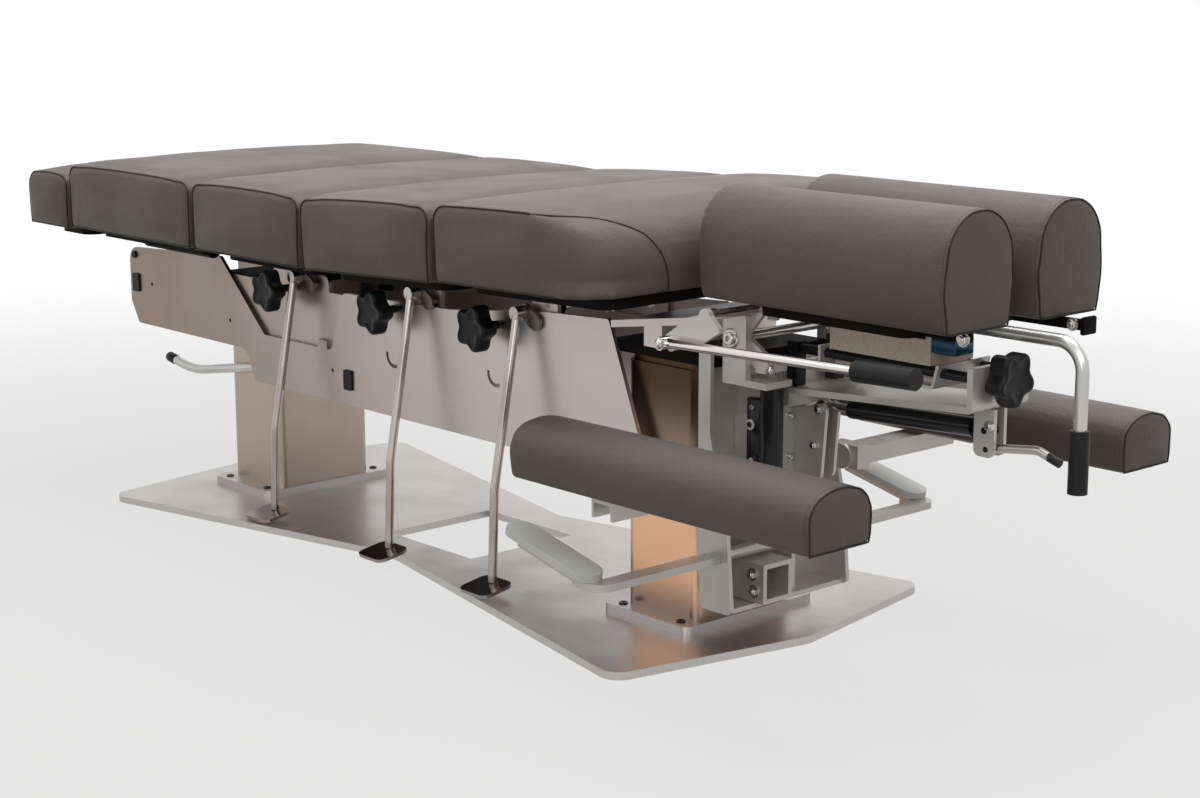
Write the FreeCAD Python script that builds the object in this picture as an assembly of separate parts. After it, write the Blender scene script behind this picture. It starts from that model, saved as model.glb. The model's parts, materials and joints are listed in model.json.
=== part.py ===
"""Chiropractic drop table with a lifting frame, drop sections, armrests and a tilting head piece.

Frame: +X runs along the table towards the head, +Y to the far side, +Z up.
The origin is on the floor, under the middle of the base plate. Units are millimetres.
"""
import FreeCAD
import Part
import math
import os

V = FreeCAD.Vector

# Shared clearances
overrun = 5.0
through_cut_share = 3.0
turning_gap = 0.05
sliding_gap = 0.3
soft_gap = 0.3

# Shares used by the shaping helpers
corner_run_share = 1 / 2.05
straight_corner_share = 1e-6
eighth_turn_share = math.sqrt(0.5)

# Base plate
base_length = 1270.0
base_width = 560.0
base_thickness = 10.0
base_cutout_length = 193.0
base_cutout_width = 186.0
base_cutout_centre_x = -12.5
base_outline_shares = [
    (0.5, 0.0, 0.06), (0.457, 0.5, 0.045), (-0.01, 0.273, 0.08), (-0.457, 0.5, 0.045),
    (-0.5, 0.0, 0.06), (-0.457, -0.5, 0.045), (-0.01, -0.273, 0.08), (0.457, -0.5, 0.045),
]

# Lifting columns
column_length = 130.0
column_width = 173.0
column_wall = 4.0
column_corner = 16.0
column_foot_x = -468.5
column_head_x = 459.0
flange_length = 154.0
flange_width = 232.0
flange_thickness = 11.0
flange_corner = 12.0
flange_bolt_radius = 6.0
flange_bolt_head = 7.0
flange_bolt_inset = 15.0
flange_bolt_end_share = 1.6
casing_top_z = 336.0
inner_tube_wall = 5.0
inner_tube_start = 24.0
actuator_radius = 30.0
actuator_length = 250.0
actuator_rod_radius = 14.0
actuator_rod_depth = 60.0
lift_travel = 250.0

# Side plates of the lifting frame
plate_outer_y = 107.0
plate_thickness = 6.0
side_plate_foot_x = -798.0
side_plate_length = 1260.0
side_plate_bottom_z = 189.5
side_plate_height = 197.0
side_plate_outline_shares = [
    (0.0, 0.878, 0.12), (0.2206, 0.936, 0.02), (0.3159, 0.386, 0.05), (0.4571, 0.386, 0.05),
    (0.4829, 0.835, 0.05), (0.681, 0.863, 0.0), (0.8452, 0.972, 0.0), (0.9381, 1.0, 0.02),
    (1.0, 0.0, 0.05), (0.2913, 0.0, 0.05), (0.2762, 0.241, 0.14), (0.0175, 0.246, 0.04),
    (0.0, 0.43, 0.04),
]
small_hole_radius = 3.0
small_hole_shares = [(0.054, 0.596), (0.2397, 0.439), (0.4587, 0.236)]
arc_slot_radius = 16.0
arc_slot_width = 5.0
arc_slot_span_deg = 130.0
arc_slot_start_deg = 150.0
arc_slot_drop = 66.0
plug_length = 20.0
plug_height = 30.0
plug_thickness = 3.0
plug_shares = [(0.0159, 0.587), (0.4905, 0.19)]
round_plug_radius = 6.0
round_plug_share = (0.0135, 0.82)

# Inner plates that carry the section hinges and the drop mechanisms
inner_foot_x = -540.0
inner_head_x = 376.0
inner_bottom_z = 254.0
inner_top_z = 349.0
inner_window_top_z = 372.0
ear_half_width = 17.0
ear_corner = 12.0
notch_block_size = 12.0
notch_block_x = -246.0

# Cross members
foot_head_plate_z = 338.0
head_head_plate_z = 348.0
head_plate_thickness = 12.0
head_plate_reach = 102.0
tie_bar_radius = 10.0
tie_bar_x_shares = [0.06, 0.40, 0.62]
tie_bar_z_share = 0.42
top_plate_start_x = 389.0
top_plate_end_x = 548.0
top_plate_start_z = 377.0
top_plate_rise = 23.0
top_plate_thickness = 9.0
post_half_size = 16.0

# Cushion sections
table_half_width = 280.0
chest_end_x = 547.0
chest_length = 299.0
lumbar_length = 289.0
pelvic_length = 277.0
leg_length = 358.0
end_length = 131.0
seam_gap = 5.6
end_seam_gap = 4.0
cushion_bottom_z = 420.0
cushion_thickness = 98.0
cushion_crown = 6.0
cushion_draw = 5.0
cushion_section_shares = (-1.0, -0.6, 0.0, 0.6, 1.0)
cushion_pinch_share = 0.2
cushion_ridge_share = 1 / 3
cushion_corner = 26.0
end_cushion_drop = 4.0
end_cushion_thickness = 84.0
end_cushion_round = 52.0
chest_raise = 15.0
chest_round = 74.0
chest_plan_round = 66.0
board_thickness = 14.7
board_inset = 18.0
board_half_width = 236.0
board_corner = 20.0
lumbar_cocked_deg = 2.6
chest_cocked_deg = 1.54

# Section hinges
hinge_rod_radius = 5.0
hinge_z = 388.0
hinge_from_seam = 15.0
section_ear_thickness = 9.7
section_ear_half_width = 13.0
section_ear_corner_share = 0.9
leg_bracket_half_width = 15.0
leg_post_shares = [0.2, 0.89]
leg_bracket_thickness = 6.0
end_rod_radius = 8.0
end_rod_y = 150.0
end_rod_length = 190.0
end_rod_drop = 13.0
end_sleeve_wall = 4.0

# Cocking pedals
pedal_x_from_seam_pelvic = 30.4
pedal_x_from_seam_lumbar = 39.8
pedal_x_from_seam_chest = -21.0
pedal_top_y = 125.0
pedal_top_z = 377.0
pedal_pelvic_lower = 8.5
pedal_pivot_dx = 20.0
pedal_pivot_dz = -11.0
pedal_rod_radius = 6.0
pedal_bend_y = 166.0
pedal_bend_z = 146.0
pedal_bend_radius = 60.0
pedal_foot_y = 171.0
pedal_foot_z = 23.5
pedal_pivot_radius = 6.0
pedal_lever_gap = 1.0
pedal_lever_thickness = 5.0
pedal_lever_radius = 11.0
pedal_boss_radius = 9.0
pedal_crank_length = 34.0
foot_plate_length = 58.0
foot_plate_width = 52.0
foot_plate_thickness = 4.5
foot_plate_corner = 12.0
foot_plate_slope_deg = 10.0
foot_plate_out = 12.0

# Star knobs
star_radius = 30.0
star_lobes = 5
star_lobe_radius = 10.0
star_valley_radius = 9.0
star_valley_turn_share = 0.5
star_valley_reach_share = 1 / 3
star_thickness = 22.0
star_hub_radius = 11.0
star_hub_length = 8.0
knob_centre_y = 140.0
knob_x_from_seam_pelvic = -17.0
knob_x_from_seam_lumbar = -27.0
knob_x_from_seam_chest = -88.0
knob_z = 345.0
knob_chest_raise = 6.0
knob_shaft_radius = 6.0
knob_shaft_inner_y = 78.0

# Foot end release lever
release_y = 94.0
release_radius = 5.5
release_pivot_x = -385.0
release_pivot_z = 217.0
release_bend_x = -634.5
release_bend_z = 176.0
release_tip_x = -708.0
release_tip_z = 187.5
release_bend_radius = 30.0
release_cap_length = 20.0
release_cap_radius = 6.8
release_pin_radius = 5.0

# Head frame under the head piece
head_frame_back_x = 546.0
head_frame_wall = 6.0
head_frame_bottom_z = 50.0
head_frame_height = 325.0
head_frame_depth = 58.0
head_frame_floor_share = 0.9
head_frame_outline_shares = [
    (0.0, 1.0, 0.02), (0.34, 1.0, 0.02), (0.34, 0.67, 0.06), (0.84, 0.34, 0.06),
    (1.0, 0.0, 0.02), (0.1, 0.0, 0.02), (0.0, 0.2, 0.02),
]
divider_y = 14.0
divider_top_z = 200.0
divider_front_x = 590.0
rail_width = 15.0
rail_depth = 14.0
rail_y = 37.0
rail_bottom_z = 150.0
rail_top_z = 338.0
receiver_length = 62.0
receiver_y = -36.0
receiver_z = 82.0
receiver_size = 50.0
receiver_hole = 38.0
receiver_angle_length = 40.0
receiver_angle_thickness = 4.0

# Lift paddles
rocker_x = 574.0
rocker_z = 117.0
rocker_radius = 8.0
paddle_bar_thickness = 9.0
paddle_bar_width = 24.0
paddle_y = 291.0
paddle_width = 40.0
paddle_length = 155.0
paddle_tongue_share = 0.8
paddle_head_x = 566.0
paddle_slope_deg = 12.7
paddle_pad_thickness = 9.0
paddle_corner = 18.0
paddle_bar_corner = 24.0
paddle_inner_corner_share = 1 / 3
paddle_start_y = 107.3

# Armrests
armrest_foot_x = 453.0
armrest_length = 472.0
armrest_inner_y = 222.5
armrest_width = 100.0
armrest_bottom_z = 229.0
armrest_height = 70.0
armrest_corner = 30.0
armrest_crown = 5.0
armrest_section_shares = [(0.0, 0.1), (0.02, 0.04), (0.07, 0.01), (0.15, 0.0), (0.9, 0.0), (1.0, 0.02)]
arm_pivot_x = 590.0
arm_pivot_z = 214.0
arm_pivot_radius = 8.0
arm_bar_height = 22.0
arm_bar_depth = 36.0
arm_bar_wall = 4.0
arm_block_length = 46.0
arm_block_width = 22.0
arm_block_height = 30.0
arm_plate_length = 190.0
arm_plate_width = 60.0
arm_plate_thickness = 4.0

# Riser that carries the head piece
riser_plate_x = 606.0
riser_plate_thickness = 8.0
riser_half_width = 50.0
riser_bottom_z = 214.0
riser_low_top_z = 298.0
riser_web_y = 88.0
riser_web_thickness = 9.0
riser_shelf_z = 341.0
riser_shelf_thickness = 8.0
riser_shelf_end_x = 648.0
riser_shelf_inner_y = 53.0
carriage_bottom_z = 222.0
carriage_top_z = 284.0
carriage_half_width = 14.0
tilt_x = 590.0
tilt_z = 388.0
tilt_rod_radius = 6.0
ear_top_z = 424.0
ear_foot_x = 576.0
ear_head_x = 614.0
cross_shaft_x = 625.0
cross_shaft_z = 427.0
cross_shaft_radius = 6.0
strut_x = 630.0
strut_y = -68.0
strut_radius = 14.0
strut_bottom_z = 168.0
strut_top_z = 332.0
strut_rod_radius = 5.0
strut_rod_depth = 84.0
strut_bracket_thickness = 8.0
anchor_x = 652.0
anchor_z = 303.0
anchor_pin_radius = 4.0
anchor_plate_gap = 17.0
anchor_plate_thickness = 5.0
anchor_plate_top = 8.0

# Head tray and its locking gas spring
tray_wall = 8.0
tray_half_width = 50.0
tray_back_x = 621.0
tray_front_x = 905.0
tray_back_top_z = 356.0
tray_back_bottom_z = 321.0
tray_front_bottom_z = 339.0
tray_front_top_z = 390.0
tray_bend_radius = 6.0
hanger_thickness = 7.0
hanger_seat = 6.0
hanger_lug_radius = 10.0
hanger_height = 36.0
hanger_end_share = 1 / 3
spring_end_x = 900.0
spring_end_z = 314.0
spring_radius = 11.0
spring_bore_depth = 120.0
spring_rod_share = 0.6
spring_rod_radius = 5.0
spring_body_length = 182.0
spring_eye_radius = 8.0
spring_neck_length = 22.0
spring_eye_width = 12.0
spring_eye_hole = 6.2
lug_thickness = 5.0
lug_bottom_z = 284.0
lug_half_length = 14.0
lug_corner_share = 0.6
rail_shaft_radius = 6.0
rail_shaft_y = 34.0
rail_shaft_z = 376.0
rail_start_x = 629.0
rail_block_height = 16.0

# Sliding carriage and its block under the head cushions
carriage_back_x = 682.0
carriage_length = 172.0
carriage_wall = 4.0
carriage_half = 46.0
carriage_floor_z = 358.0
block_length = 150.0
block_width = 76.0
block_lift_z = 366.0
block_lower_share = 3.0
bridge_thickness = 8.0

# Head cushions
head_cushion_foot_x = 580.0
head_cushion_length = 363.0
head_cushion_inner_y = 23.0
head_cushion_width = 114.0
head_cushion_bottom_z = 438.0
head_cushion_side_height = 84.0
head_cushion_rise = 50.0
head_cushion_draw = 4.0
head_cushion_section_shares = (0.0, 0.5, 1.0)
carrier_thickness = 10.0
carrier_half_length = 110.0
carrier_centre_x = 770.0
carrier_inset = 12.0

# Drop lever of the head piece
drop_lever_y = 186.0
drop_crank_y = 170.0
drop_crank_thickness = 7.0
drop_crank_shares = [(-0.1, 0.25, 0.0), (0.55, 0.9, 0.1), (1.11, 1.12, 0.1), (1.49, 0.6, 0.1),
                     (1.0, 0.16, 0.1), (0.06, -0.27, 0.0)]
drop_hub_radius = 11.0
drop_stud_radius = 8.0
drop_stud_reach = 8.5
drop_boss_radius = 9.0
drop_rod_radius = 5.5
drop_rod_start_x = 570.0
drop_rod_start_z = 390.5
drop_rod_end_x = 864.0
drop_rod_end_z = 399.0
drop_grip_length = 82.0
drop_grip_radius = 12.0

# Head knob, swing handle and spring release lever
head_knob_y = -10.0
head_knob_z = 377.0
handle_y = 8.0
handle_z = 424.5
handle_bend_x = 1014.0
handle_radius = 7.5
handle_bend_radius = 32.0
handle_bottom_z = 330.0
handle_grip_length = 70.0
handle_grip_radius = 11.0
trigger_x = 903.0
trigger_z = 293.0
trigger_bend_x = 966.0
trigger_bend_z = 301.0
trigger_tip_x = 996.0
trigger_tip_z = 291.0
trigger_radius = 5.0
trigger_bend_radius = 20.0
trigger_pin_radius = 3.5

# Worked out from the sizes above
plate_inner_y = plate_outer_y - plate_thickness
inner_plate_y = plate_inner_y - plate_thickness
lumbar_chest_x = chest_end_x - chest_length
pelvic_lumbar_x = lumbar_chest_x - lumbar_length
leg_pelvic_x = pelvic_lumbar_x - pelvic_length
end_leg_x = leg_pelvic_x - leg_length
table_foot_x = end_leg_x - end_length
hinge_xs = [x + hinge_from_seam for x in (leg_pelvic_x, pelvic_lumbar_x, lumbar_chest_x)]
flange_top_z = base_thickness + flange_thickness
column_xs = [column_foot_x, column_head_x]
pedal_xs = [
    leg_pelvic_x + pedal_x_from_seam_pelvic,
    pelvic_lumbar_x + pedal_x_from_seam_lumbar,
    lumbar_chest_x + pedal_x_from_seam_chest,
]
pedal_zs = [pedal_top_z - pedal_pelvic_lower, pedal_top_z, pedal_top_z]
pivot_xs = [x + pedal_pivot_dx for x in pedal_xs]
pivot_zs = [z + pedal_pivot_dz for z in pedal_zs]
knob_xs = [
    leg_pelvic_x + knob_x_from_seam_pelvic,
    pelvic_lumbar_x + knob_x_from_seam_lumbar,
    lumbar_chest_x + knob_x_from_seam_chest,
]
knob_zs = [knob_z, knob_z, knob_z + knob_chest_raise]


def place(plane, a, b, c=0.0):
    """Return the point with coordinates a, b in the named plane and c along its normal."""
    if plane == "XY":
        return V(a, b, c)
    if plane == "XZ":
        return V(a, c, b)
    return V(c, a, b)


def rounded_wire(corners, plane, level):
    """Join (a, b, radius) corners with lines, rounding each corner by its radius."""
    count = len(corners)
    points = [V(a, b, 0) for a, b, r in corners]
    starts, mids, ends = [], [], []
    for i, (a, b, radius) in enumerate(corners):
        here = points[i]
        before = points[i - 1] - here
        after = points[(i + 1) % count] - here
        half = before.getAngle(after) / 2
        reach = min(before.Length, after.Length) * corner_run_share
        tangent = min(radius / math.tan(half), reach) if radius > 0 else 0.0
        if tangent <= 0 or math.cos(half) < straight_corner_share:
            starts.append(here)
            mids.append(None)
            ends.append(here)
            continue
        before.normalize()
        after.normalize()
        real = tangent * math.tan(half)
        middle = (before + after).normalize()
        starts.append(here + before * tangent)
        mids.append(here + middle * (real / math.sin(half) - real))
        ends.append(here + after * tangent)
    edges = []
    for i in range(count):
        start = place(plane, starts[i].x, starts[i].y, level)
        end = place(plane, ends[i].x, ends[i].y, level)
        if mids[i] is not None:
            middle = place(plane, mids[i].x, mids[i].y, level)
            edges.append(Part.Arc(start, middle, end).toShape())
        following = starts[(i + 1) % count]
        edges.append(Part.LineSegment(end, place(plane, following.x, following.y, level)).toShape())
    return Part.Wire(edges)


def plate(corners, plane, level, thickness):
    """Extrude a rounded outline from the given level along the normal of its plane."""
    face = Part.Face(rounded_wire(corners, plane, level))
    return face.extrude(place(plane, 0, 0, thickness))


def from_shares(shares, start_a, start_b, length, height):
    """Turn corner shares of a length and a height into corners; radii follow the height."""
    return [(start_a + a * length, start_b + b * height, r * height) for a, b, r in shares]


def rectangle(a0, a1, b0, b1, radius=0.0):
    """Return the four corners of a rectangle with one corner radius."""
    return [(a0, b0, radius), (a1, b0, radius), (a1, b1, radius), (a0, b1, radius)]


def block(x0, x1, y0, y1, z0, z1):
    """Return a box between two corners."""
    return Part.makeBox(x1 - x0, y1 - y0, z1 - z0, V(x0, y0, z0))


def rod(start, end, radius):
    """Return a round rod between two points."""
    return Part.makeCylinder(radius, (end - start).Length, start, end - start)


def slot_plate(first, second, radius, plane, level, thickness):
    """Return a flat link with round ends on two points given as (a, b)."""
    start = place(plane, first[0], first[1], level)
    end = place(plane, second[0], second[1], level)
    depth = place(plane, 0, 0, thickness)
    span = end - start
    side = span.cross(depth).normalize() * radius
    web = Part.Face(Part.makePolygon([start + side, end + side, end - side, start - side, start + side]))
    ends = [Part.makeCylinder(radius, depth.Length, at, depth) for at in (start, end)]
    return web.extrude(depth).fuse(ends).removeSplitter()


def bent_rod(points, bend_radius, radius):
    """Sweep a round section along straight runs joined by tangent arcs."""
    edges = []
    start = points[0]
    for i in range(1, len(points) - 1):
        before = (points[i - 1] - points[i]).normalize()
        after = (points[i + 1] - points[i]).normalize()
        half = before.getAngle(after) / 2
        tangent = bend_radius / math.tan(half)
        arc_start = points[i] + before * tangent
        arc_end = points[i] + after * tangent
        inward = (before + after).normalize() * (bend_radius / math.sin(half) - bend_radius)
        edges.append(Part.LineSegment(start, arc_start).toShape())
        edges.append(Part.Arc(arc_start, points[i] + inward, arc_end).toShape())
        start = arc_end
    edges.append(Part.LineSegment(start, points[-1]).toShape())
    spine = Part.Wire(edges)
    circle = Part.Circle(points[0], points[1] - points[0], radius)
    return spine.makePipeShell([Part.Wire(circle.toShape())], True, False)


def mirrored(shape):
    """Return the shape's image on the other side of the table's middle plane."""
    return shape.mirror(V(0, 0, 0), V(0, 1, 0))


def turned(shape, centre_x, centre_z, degrees):
    """Turn a shape about a cross axis; positive lifts what lies towards the head."""
    copy = shape.copy()
    copy.rotate(V(centre_x, 0, centre_z), V(0, -1, 0), degrees)
    return copy


def section_wire(y, x0, x1, z0, z1, round_foot, round_head, crown, draw):
    """Return one lengthwise section of a cushion, drawn in at its bottom and crowned on top."""
    corners = [(x0 + draw, z0), (x1 - draw, z0), (x1, z1 - round_head), (x0, z1 - round_foot)]
    foot_bottom, head_bottom, head_side, foot_side = [V(a, y, b) for a, b in corners]
    head_top = V(x1 - round_head, y, z1)
    foot_top = V(x0 + round_foot, y, z1)
    diagonal = eighth_turn_share
    head_mid = V(x1 - round_head * (1 - diagonal), y, z1 - round_head * (1 - diagonal))
    foot_mid = V(x0 + round_foot * (1 - diagonal), y, z1 - round_foot * (1 - diagonal))
    top_mid = V((head_top.x + foot_top.x) / 2, y, z1 + crown)
    return Part.Wire([
        Part.LineSegment(foot_bottom, head_bottom).toShape(),
        Part.LineSegment(head_bottom, head_side).toShape(),
        Part.Arc(head_side, head_mid, head_top).toShape(),
        Part.Arc(head_top, top_mid, foot_top).toShape(),
        Part.Arc(foot_top, foot_mid, foot_side).toShape(),
        Part.LineSegment(foot_side, foot_bottom).toShape(),
    ])


def cushion(x0, x1, z0, thickness, round_foot, round_head):
    """Loft a crowned cushion across the table; its sides draw in a little at both edges."""
    sections = []
    for share in cushion_section_shares:
        swell = 1 - share * share
        top = z0 + thickness + cushion_crown * swell
        pinch = cushion_draw * (1 - swell) * cushion_pinch_share
        sections.append(section_wire(
            share * table_half_width, x0 + pinch, x1 - pinch, z0, top,
            round_foot, round_head, cushion_crown * cushion_ridge_share, cushion_draw / 2))
    return Part.makeLoft(sections, True, False)


def board(x0, x1, top_z):
    """Return the flat board that carries one cushion."""
    corners = rectangle(x0 + board_inset, x1 - board_inset, -board_half_width, board_half_width,
                        board_corner)
    return plate(corners, "XY", top_z - board_thickness, board_thickness)


def star_knob(centre, axis, shaft_end):
    """Return a lobed knob with its hub and shaft; the axis points from the shaft to the knob."""
    valley_ring = star_radius * math.cos(math.pi / star_lobes)
    body = Part.makeCylinder(star_radius - star_lobe_radius / 2, star_thickness,
                             V(0, 0, -star_thickness / 2))
    for i in range(star_lobes):
        angle = 2 * math.pi * i / star_lobes
        reach = star_radius - star_lobe_radius
        at = V(reach * math.cos(angle), reach * math.sin(angle), -star_thickness / 2)
        body = body.fuse(Part.makeCylinder(star_lobe_radius, star_thickness, at))
    for i in range(star_lobes):
        angle = 2 * math.pi * (i + star_valley_turn_share) / star_lobes
        reach = valley_ring + star_valley_radius * star_valley_reach_share
        at = V(reach * math.cos(angle), reach * math.sin(angle), -star_thickness / 2 - overrun)
        body = body.cut(Part.makeCylinder(star_valley_radius, star_thickness + 2 * overrun, at))
    hub = Part.makeCylinder(star_hub_radius, star_hub_length,
                            V(0, 0, -star_thickness / 2 - star_hub_length))
    body = body.fuse(hub).removeSplitter()
    body.Placement = FreeCAD.Placement(centre, FreeCAD.Rotation(V(0, 0, 1), axis))
    seat = centre - axis * (star_thickness / 2 + star_hub_length)
    return [body, rod(shaft_end, seat, knob_shaft_radius)]


def save(name, *shapes):
    """Write one named sub-part; several solids make a group."""
    shape = shapes[0] if len(shapes) == 1 else Part.makeCompound(list(shapes))
    shape.exportStep("parts/" + name + ".step")


def column_profile(centre_x, inset, z0, z1):
    """Return a solid rounded bar on a column's axis, smaller than the casing by the inset."""
    corners = rectangle(centre_x - column_length / 2 + inset, centre_x + column_length / 2 - inset,
                        -column_width / 2 + inset, column_width / 2 - inset,
                        max(column_corner - inset, column_wall / 2))
    return plate(corners, "XY", z0, z1 - z0)


def base_plate():
    """Return the floor plate, waisted in the middle and cut out between the columns."""
    corners = from_shares([(x, y * base_width / base_length, r) for x, y, r in base_outline_shares],
                          0, 0, base_length, base_length)
    outline = plate([(a, b, r * base_width / base_length) for a, b, r in corners],
                    "XY", 0, base_thickness)
    x0 = base_cutout_centre_x - base_cutout_length / 2
    x1 = base_cutout_centre_x + base_cutout_length / 2
    window = block(x0, x1, -base_cutout_width / 2, base_cutout_width / 2,
                   -overrun, base_thickness + overrun)
    return outline.cut(window)


def build_base():
    """Build the base plate, both column casings, their flanges and the lifting motors."""
    save("base_plate", base_plate())
    flanges, bolts, motors = [], [], []
    casings = []
    for x in column_xs:
        half_length = flange_length / 2
        half_width = flange_width / 2
        flange = plate(rectangle(x - half_length, x + half_length, -half_width, half_width,
                                 flange_corner), "XY", base_thickness, flange_thickness)
        flanges.append(flange)
        for side in (-1, 1):
            for end in (-1, 1):
                at_x = x + end * (half_length - flange_bolt_inset * flange_bolt_end_share)
                at_y = side * (half_width - flange_bolt_inset)
                foot = V(at_x, at_y, flange_top_z)
                bolts.append(rod(foot, foot + V(0, 0, flange_bolt_head), flange_bolt_radius))
        casing = column_profile(x, 0, flange_top_z, casing_top_z)
        hollow = column_profile(x, column_wall, flange_top_z - overrun, casing_top_z + overrun)
        casings.append(casing.cut(hollow))
        motor = rod(V(x, 0, flange_top_z), V(x, 0, flange_top_z + actuator_length), actuator_radius)
        bore_depth = actuator_length - actuator_rod_depth / 2
        bore = rod(V(x, 0, flange_top_z + actuator_length - bore_depth),
                   V(x, 0, flange_top_z + actuator_length + overrun),
                   actuator_rod_radius + turning_gap * 2)
        motors.append(motor.cut(bore))
    save("column_casings", *casings)
    save("column_flanges", *flanges)
    save("flange_bolts", *bolts)
    save("lift_motors", *motors)


def side_plate():
    """Return the near outer side plate with its notch, holes and curved slots."""
    corners = from_shares(side_plate_outline_shares, side_plate_foot_x, side_plate_bottom_z,
                          side_plate_length, side_plate_height)
    body = plate(corners, "XZ", -plate_outer_y, plate_thickness)
    for x_share, z_share in small_hole_shares:
        x = side_plate_foot_x + x_share * side_plate_length
        z = side_plate_bottom_z + z_share * side_plate_height
        body = body.cut(cross_hole(x, z, small_hole_radius))
    for x, z in zip(knob_xs[1:], knob_zs[1:]):
        body = body.cut(cross_hole(x, z, knob_shaft_radius + turning_gap))
    body = body.cut(cross_hole(pivot_xs[2], pivot_zs[2], pedal_pivot_radius + turning_gap))
    for x, z in zip(knob_xs[1:], knob_zs[1:]):
        body = body.cut(arc_slot(x, z - arc_slot_drop))
    return body


def cross_hole(x, z, radius):
    """Return a drill along Y through the near plates."""
    return rod(V(x, -plate_outer_y - overrun, z), V(x, -inner_plate_y + overrun, z), radius)


def arc_slot(x, z):
    """Return the cutter of a curved slot about the given centre."""
    outer = arc_slot_radius + arc_slot_width / 2
    inner = arc_slot_radius - arc_slot_width / 2
    depth = plate_thickness + 2 * overrun
    start = V(x, -plate_outer_y - overrun, z)
    ring = Part.makeCylinder(outer, depth, start, V(0, 1, 0), arc_slot_span_deg)
    ring = ring.cut(Part.makeCylinder(inner, depth, start, V(0, 1, 0)))
    ring.rotate(start, V(0, 1, 0), arc_slot_start_deg)
    return ring


def inner_plate():
    """Return the near inner plate; its ears carry the hinge rods and the pedal pivots."""
    body = plate(rectangle(inner_foot_x, inner_head_x, inner_bottom_z, inner_top_z, ear_corner),
                 "XZ", -plate_inner_y, plate_thickness)
    window_x0 = knob_xs[0] - star_radius - ear_half_width
    window_x1 = pivot_xs[0] + ear_half_width * 2
    body = body.fuse(plate(rectangle(window_x0, window_x1, inner_bottom_z, inner_window_top_z,
                                     ear_corner), "XZ", -plate_inner_y, plate_thickness))
    for hinge_x, pivot_x in zip(hinge_xs, pivot_xs):
        x0 = min(hinge_x, pivot_x) - ear_half_width
        x1 = max(hinge_x, pivot_x) + ear_half_width
        top = hinge_z + ear_corner
        body = body.fuse(plate(rectangle(x0, x1, inner_bottom_z, top, ear_corner),
                               "XZ", -plate_inner_y, plate_thickness))
    body = body.removeSplitter()
    for x, z in zip(knob_xs, knob_zs):
        body = body.cut(cross_hole(x, z, knob_shaft_radius + turning_gap))
    for x, z in zip(pivot_xs, pivot_zs):
        body = body.cut(cross_hole(x, z, pedal_pivot_radius + turning_gap))
    for x in hinge_xs:
        body = body.cut(cross_hole(x, hinge_z, hinge_rod_radius))
    return body


def build_side_plates():
    """Build the outer and inner side plates, their plugs and the rods across them."""
    near = side_plate()
    save("near_side_plate", near)
    save("far_side_plate", mirrored(near))
    inner = inner_plate()
    notch_floor = side_plate_bottom_z + side_plate_outline_shares[2][1] * side_plate_height
    stop = block(notch_block_x - notch_block_size, notch_block_x + notch_block_size,
                 -plate_outer_y, -plate_inner_y, notch_floor, notch_floor + notch_block_size)
    save("inner_side_plates", inner.fuse(stop), mirrored(inner.fuse(stop)))
    plugs = []
    for x_share, z_share in plug_shares:
        x = side_plate_foot_x + x_share * side_plate_length
        z = side_plate_bottom_z + z_share * side_plate_height
        plugs.append(plate(rectangle(x - plug_length / 2, x + plug_length / 2, z - plug_height / 2,
                                     z + plug_height / 2, plug_thickness),
                           "XZ", -plate_outer_y - plug_thickness, plug_thickness))
    x = side_plate_foot_x + round_plug_share[0] * side_plate_length
    z = side_plate_bottom_z + round_plug_share[1] * side_plate_height
    plugs.append(rod(V(x, -plate_outer_y - plug_thickness, z), V(x, -plate_outer_y, z),
                     round_plug_radius))
    save("side_plate_plugs", *plugs)
    pins = [rod(V(x, -plate_inner_y, hinge_z), V(x, plate_inner_y, hinge_z), hinge_rod_radius)
            for x in hinge_xs]
    pins.append(release_pin(0))
    save("frame_hinge_pins", *pins)


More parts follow.
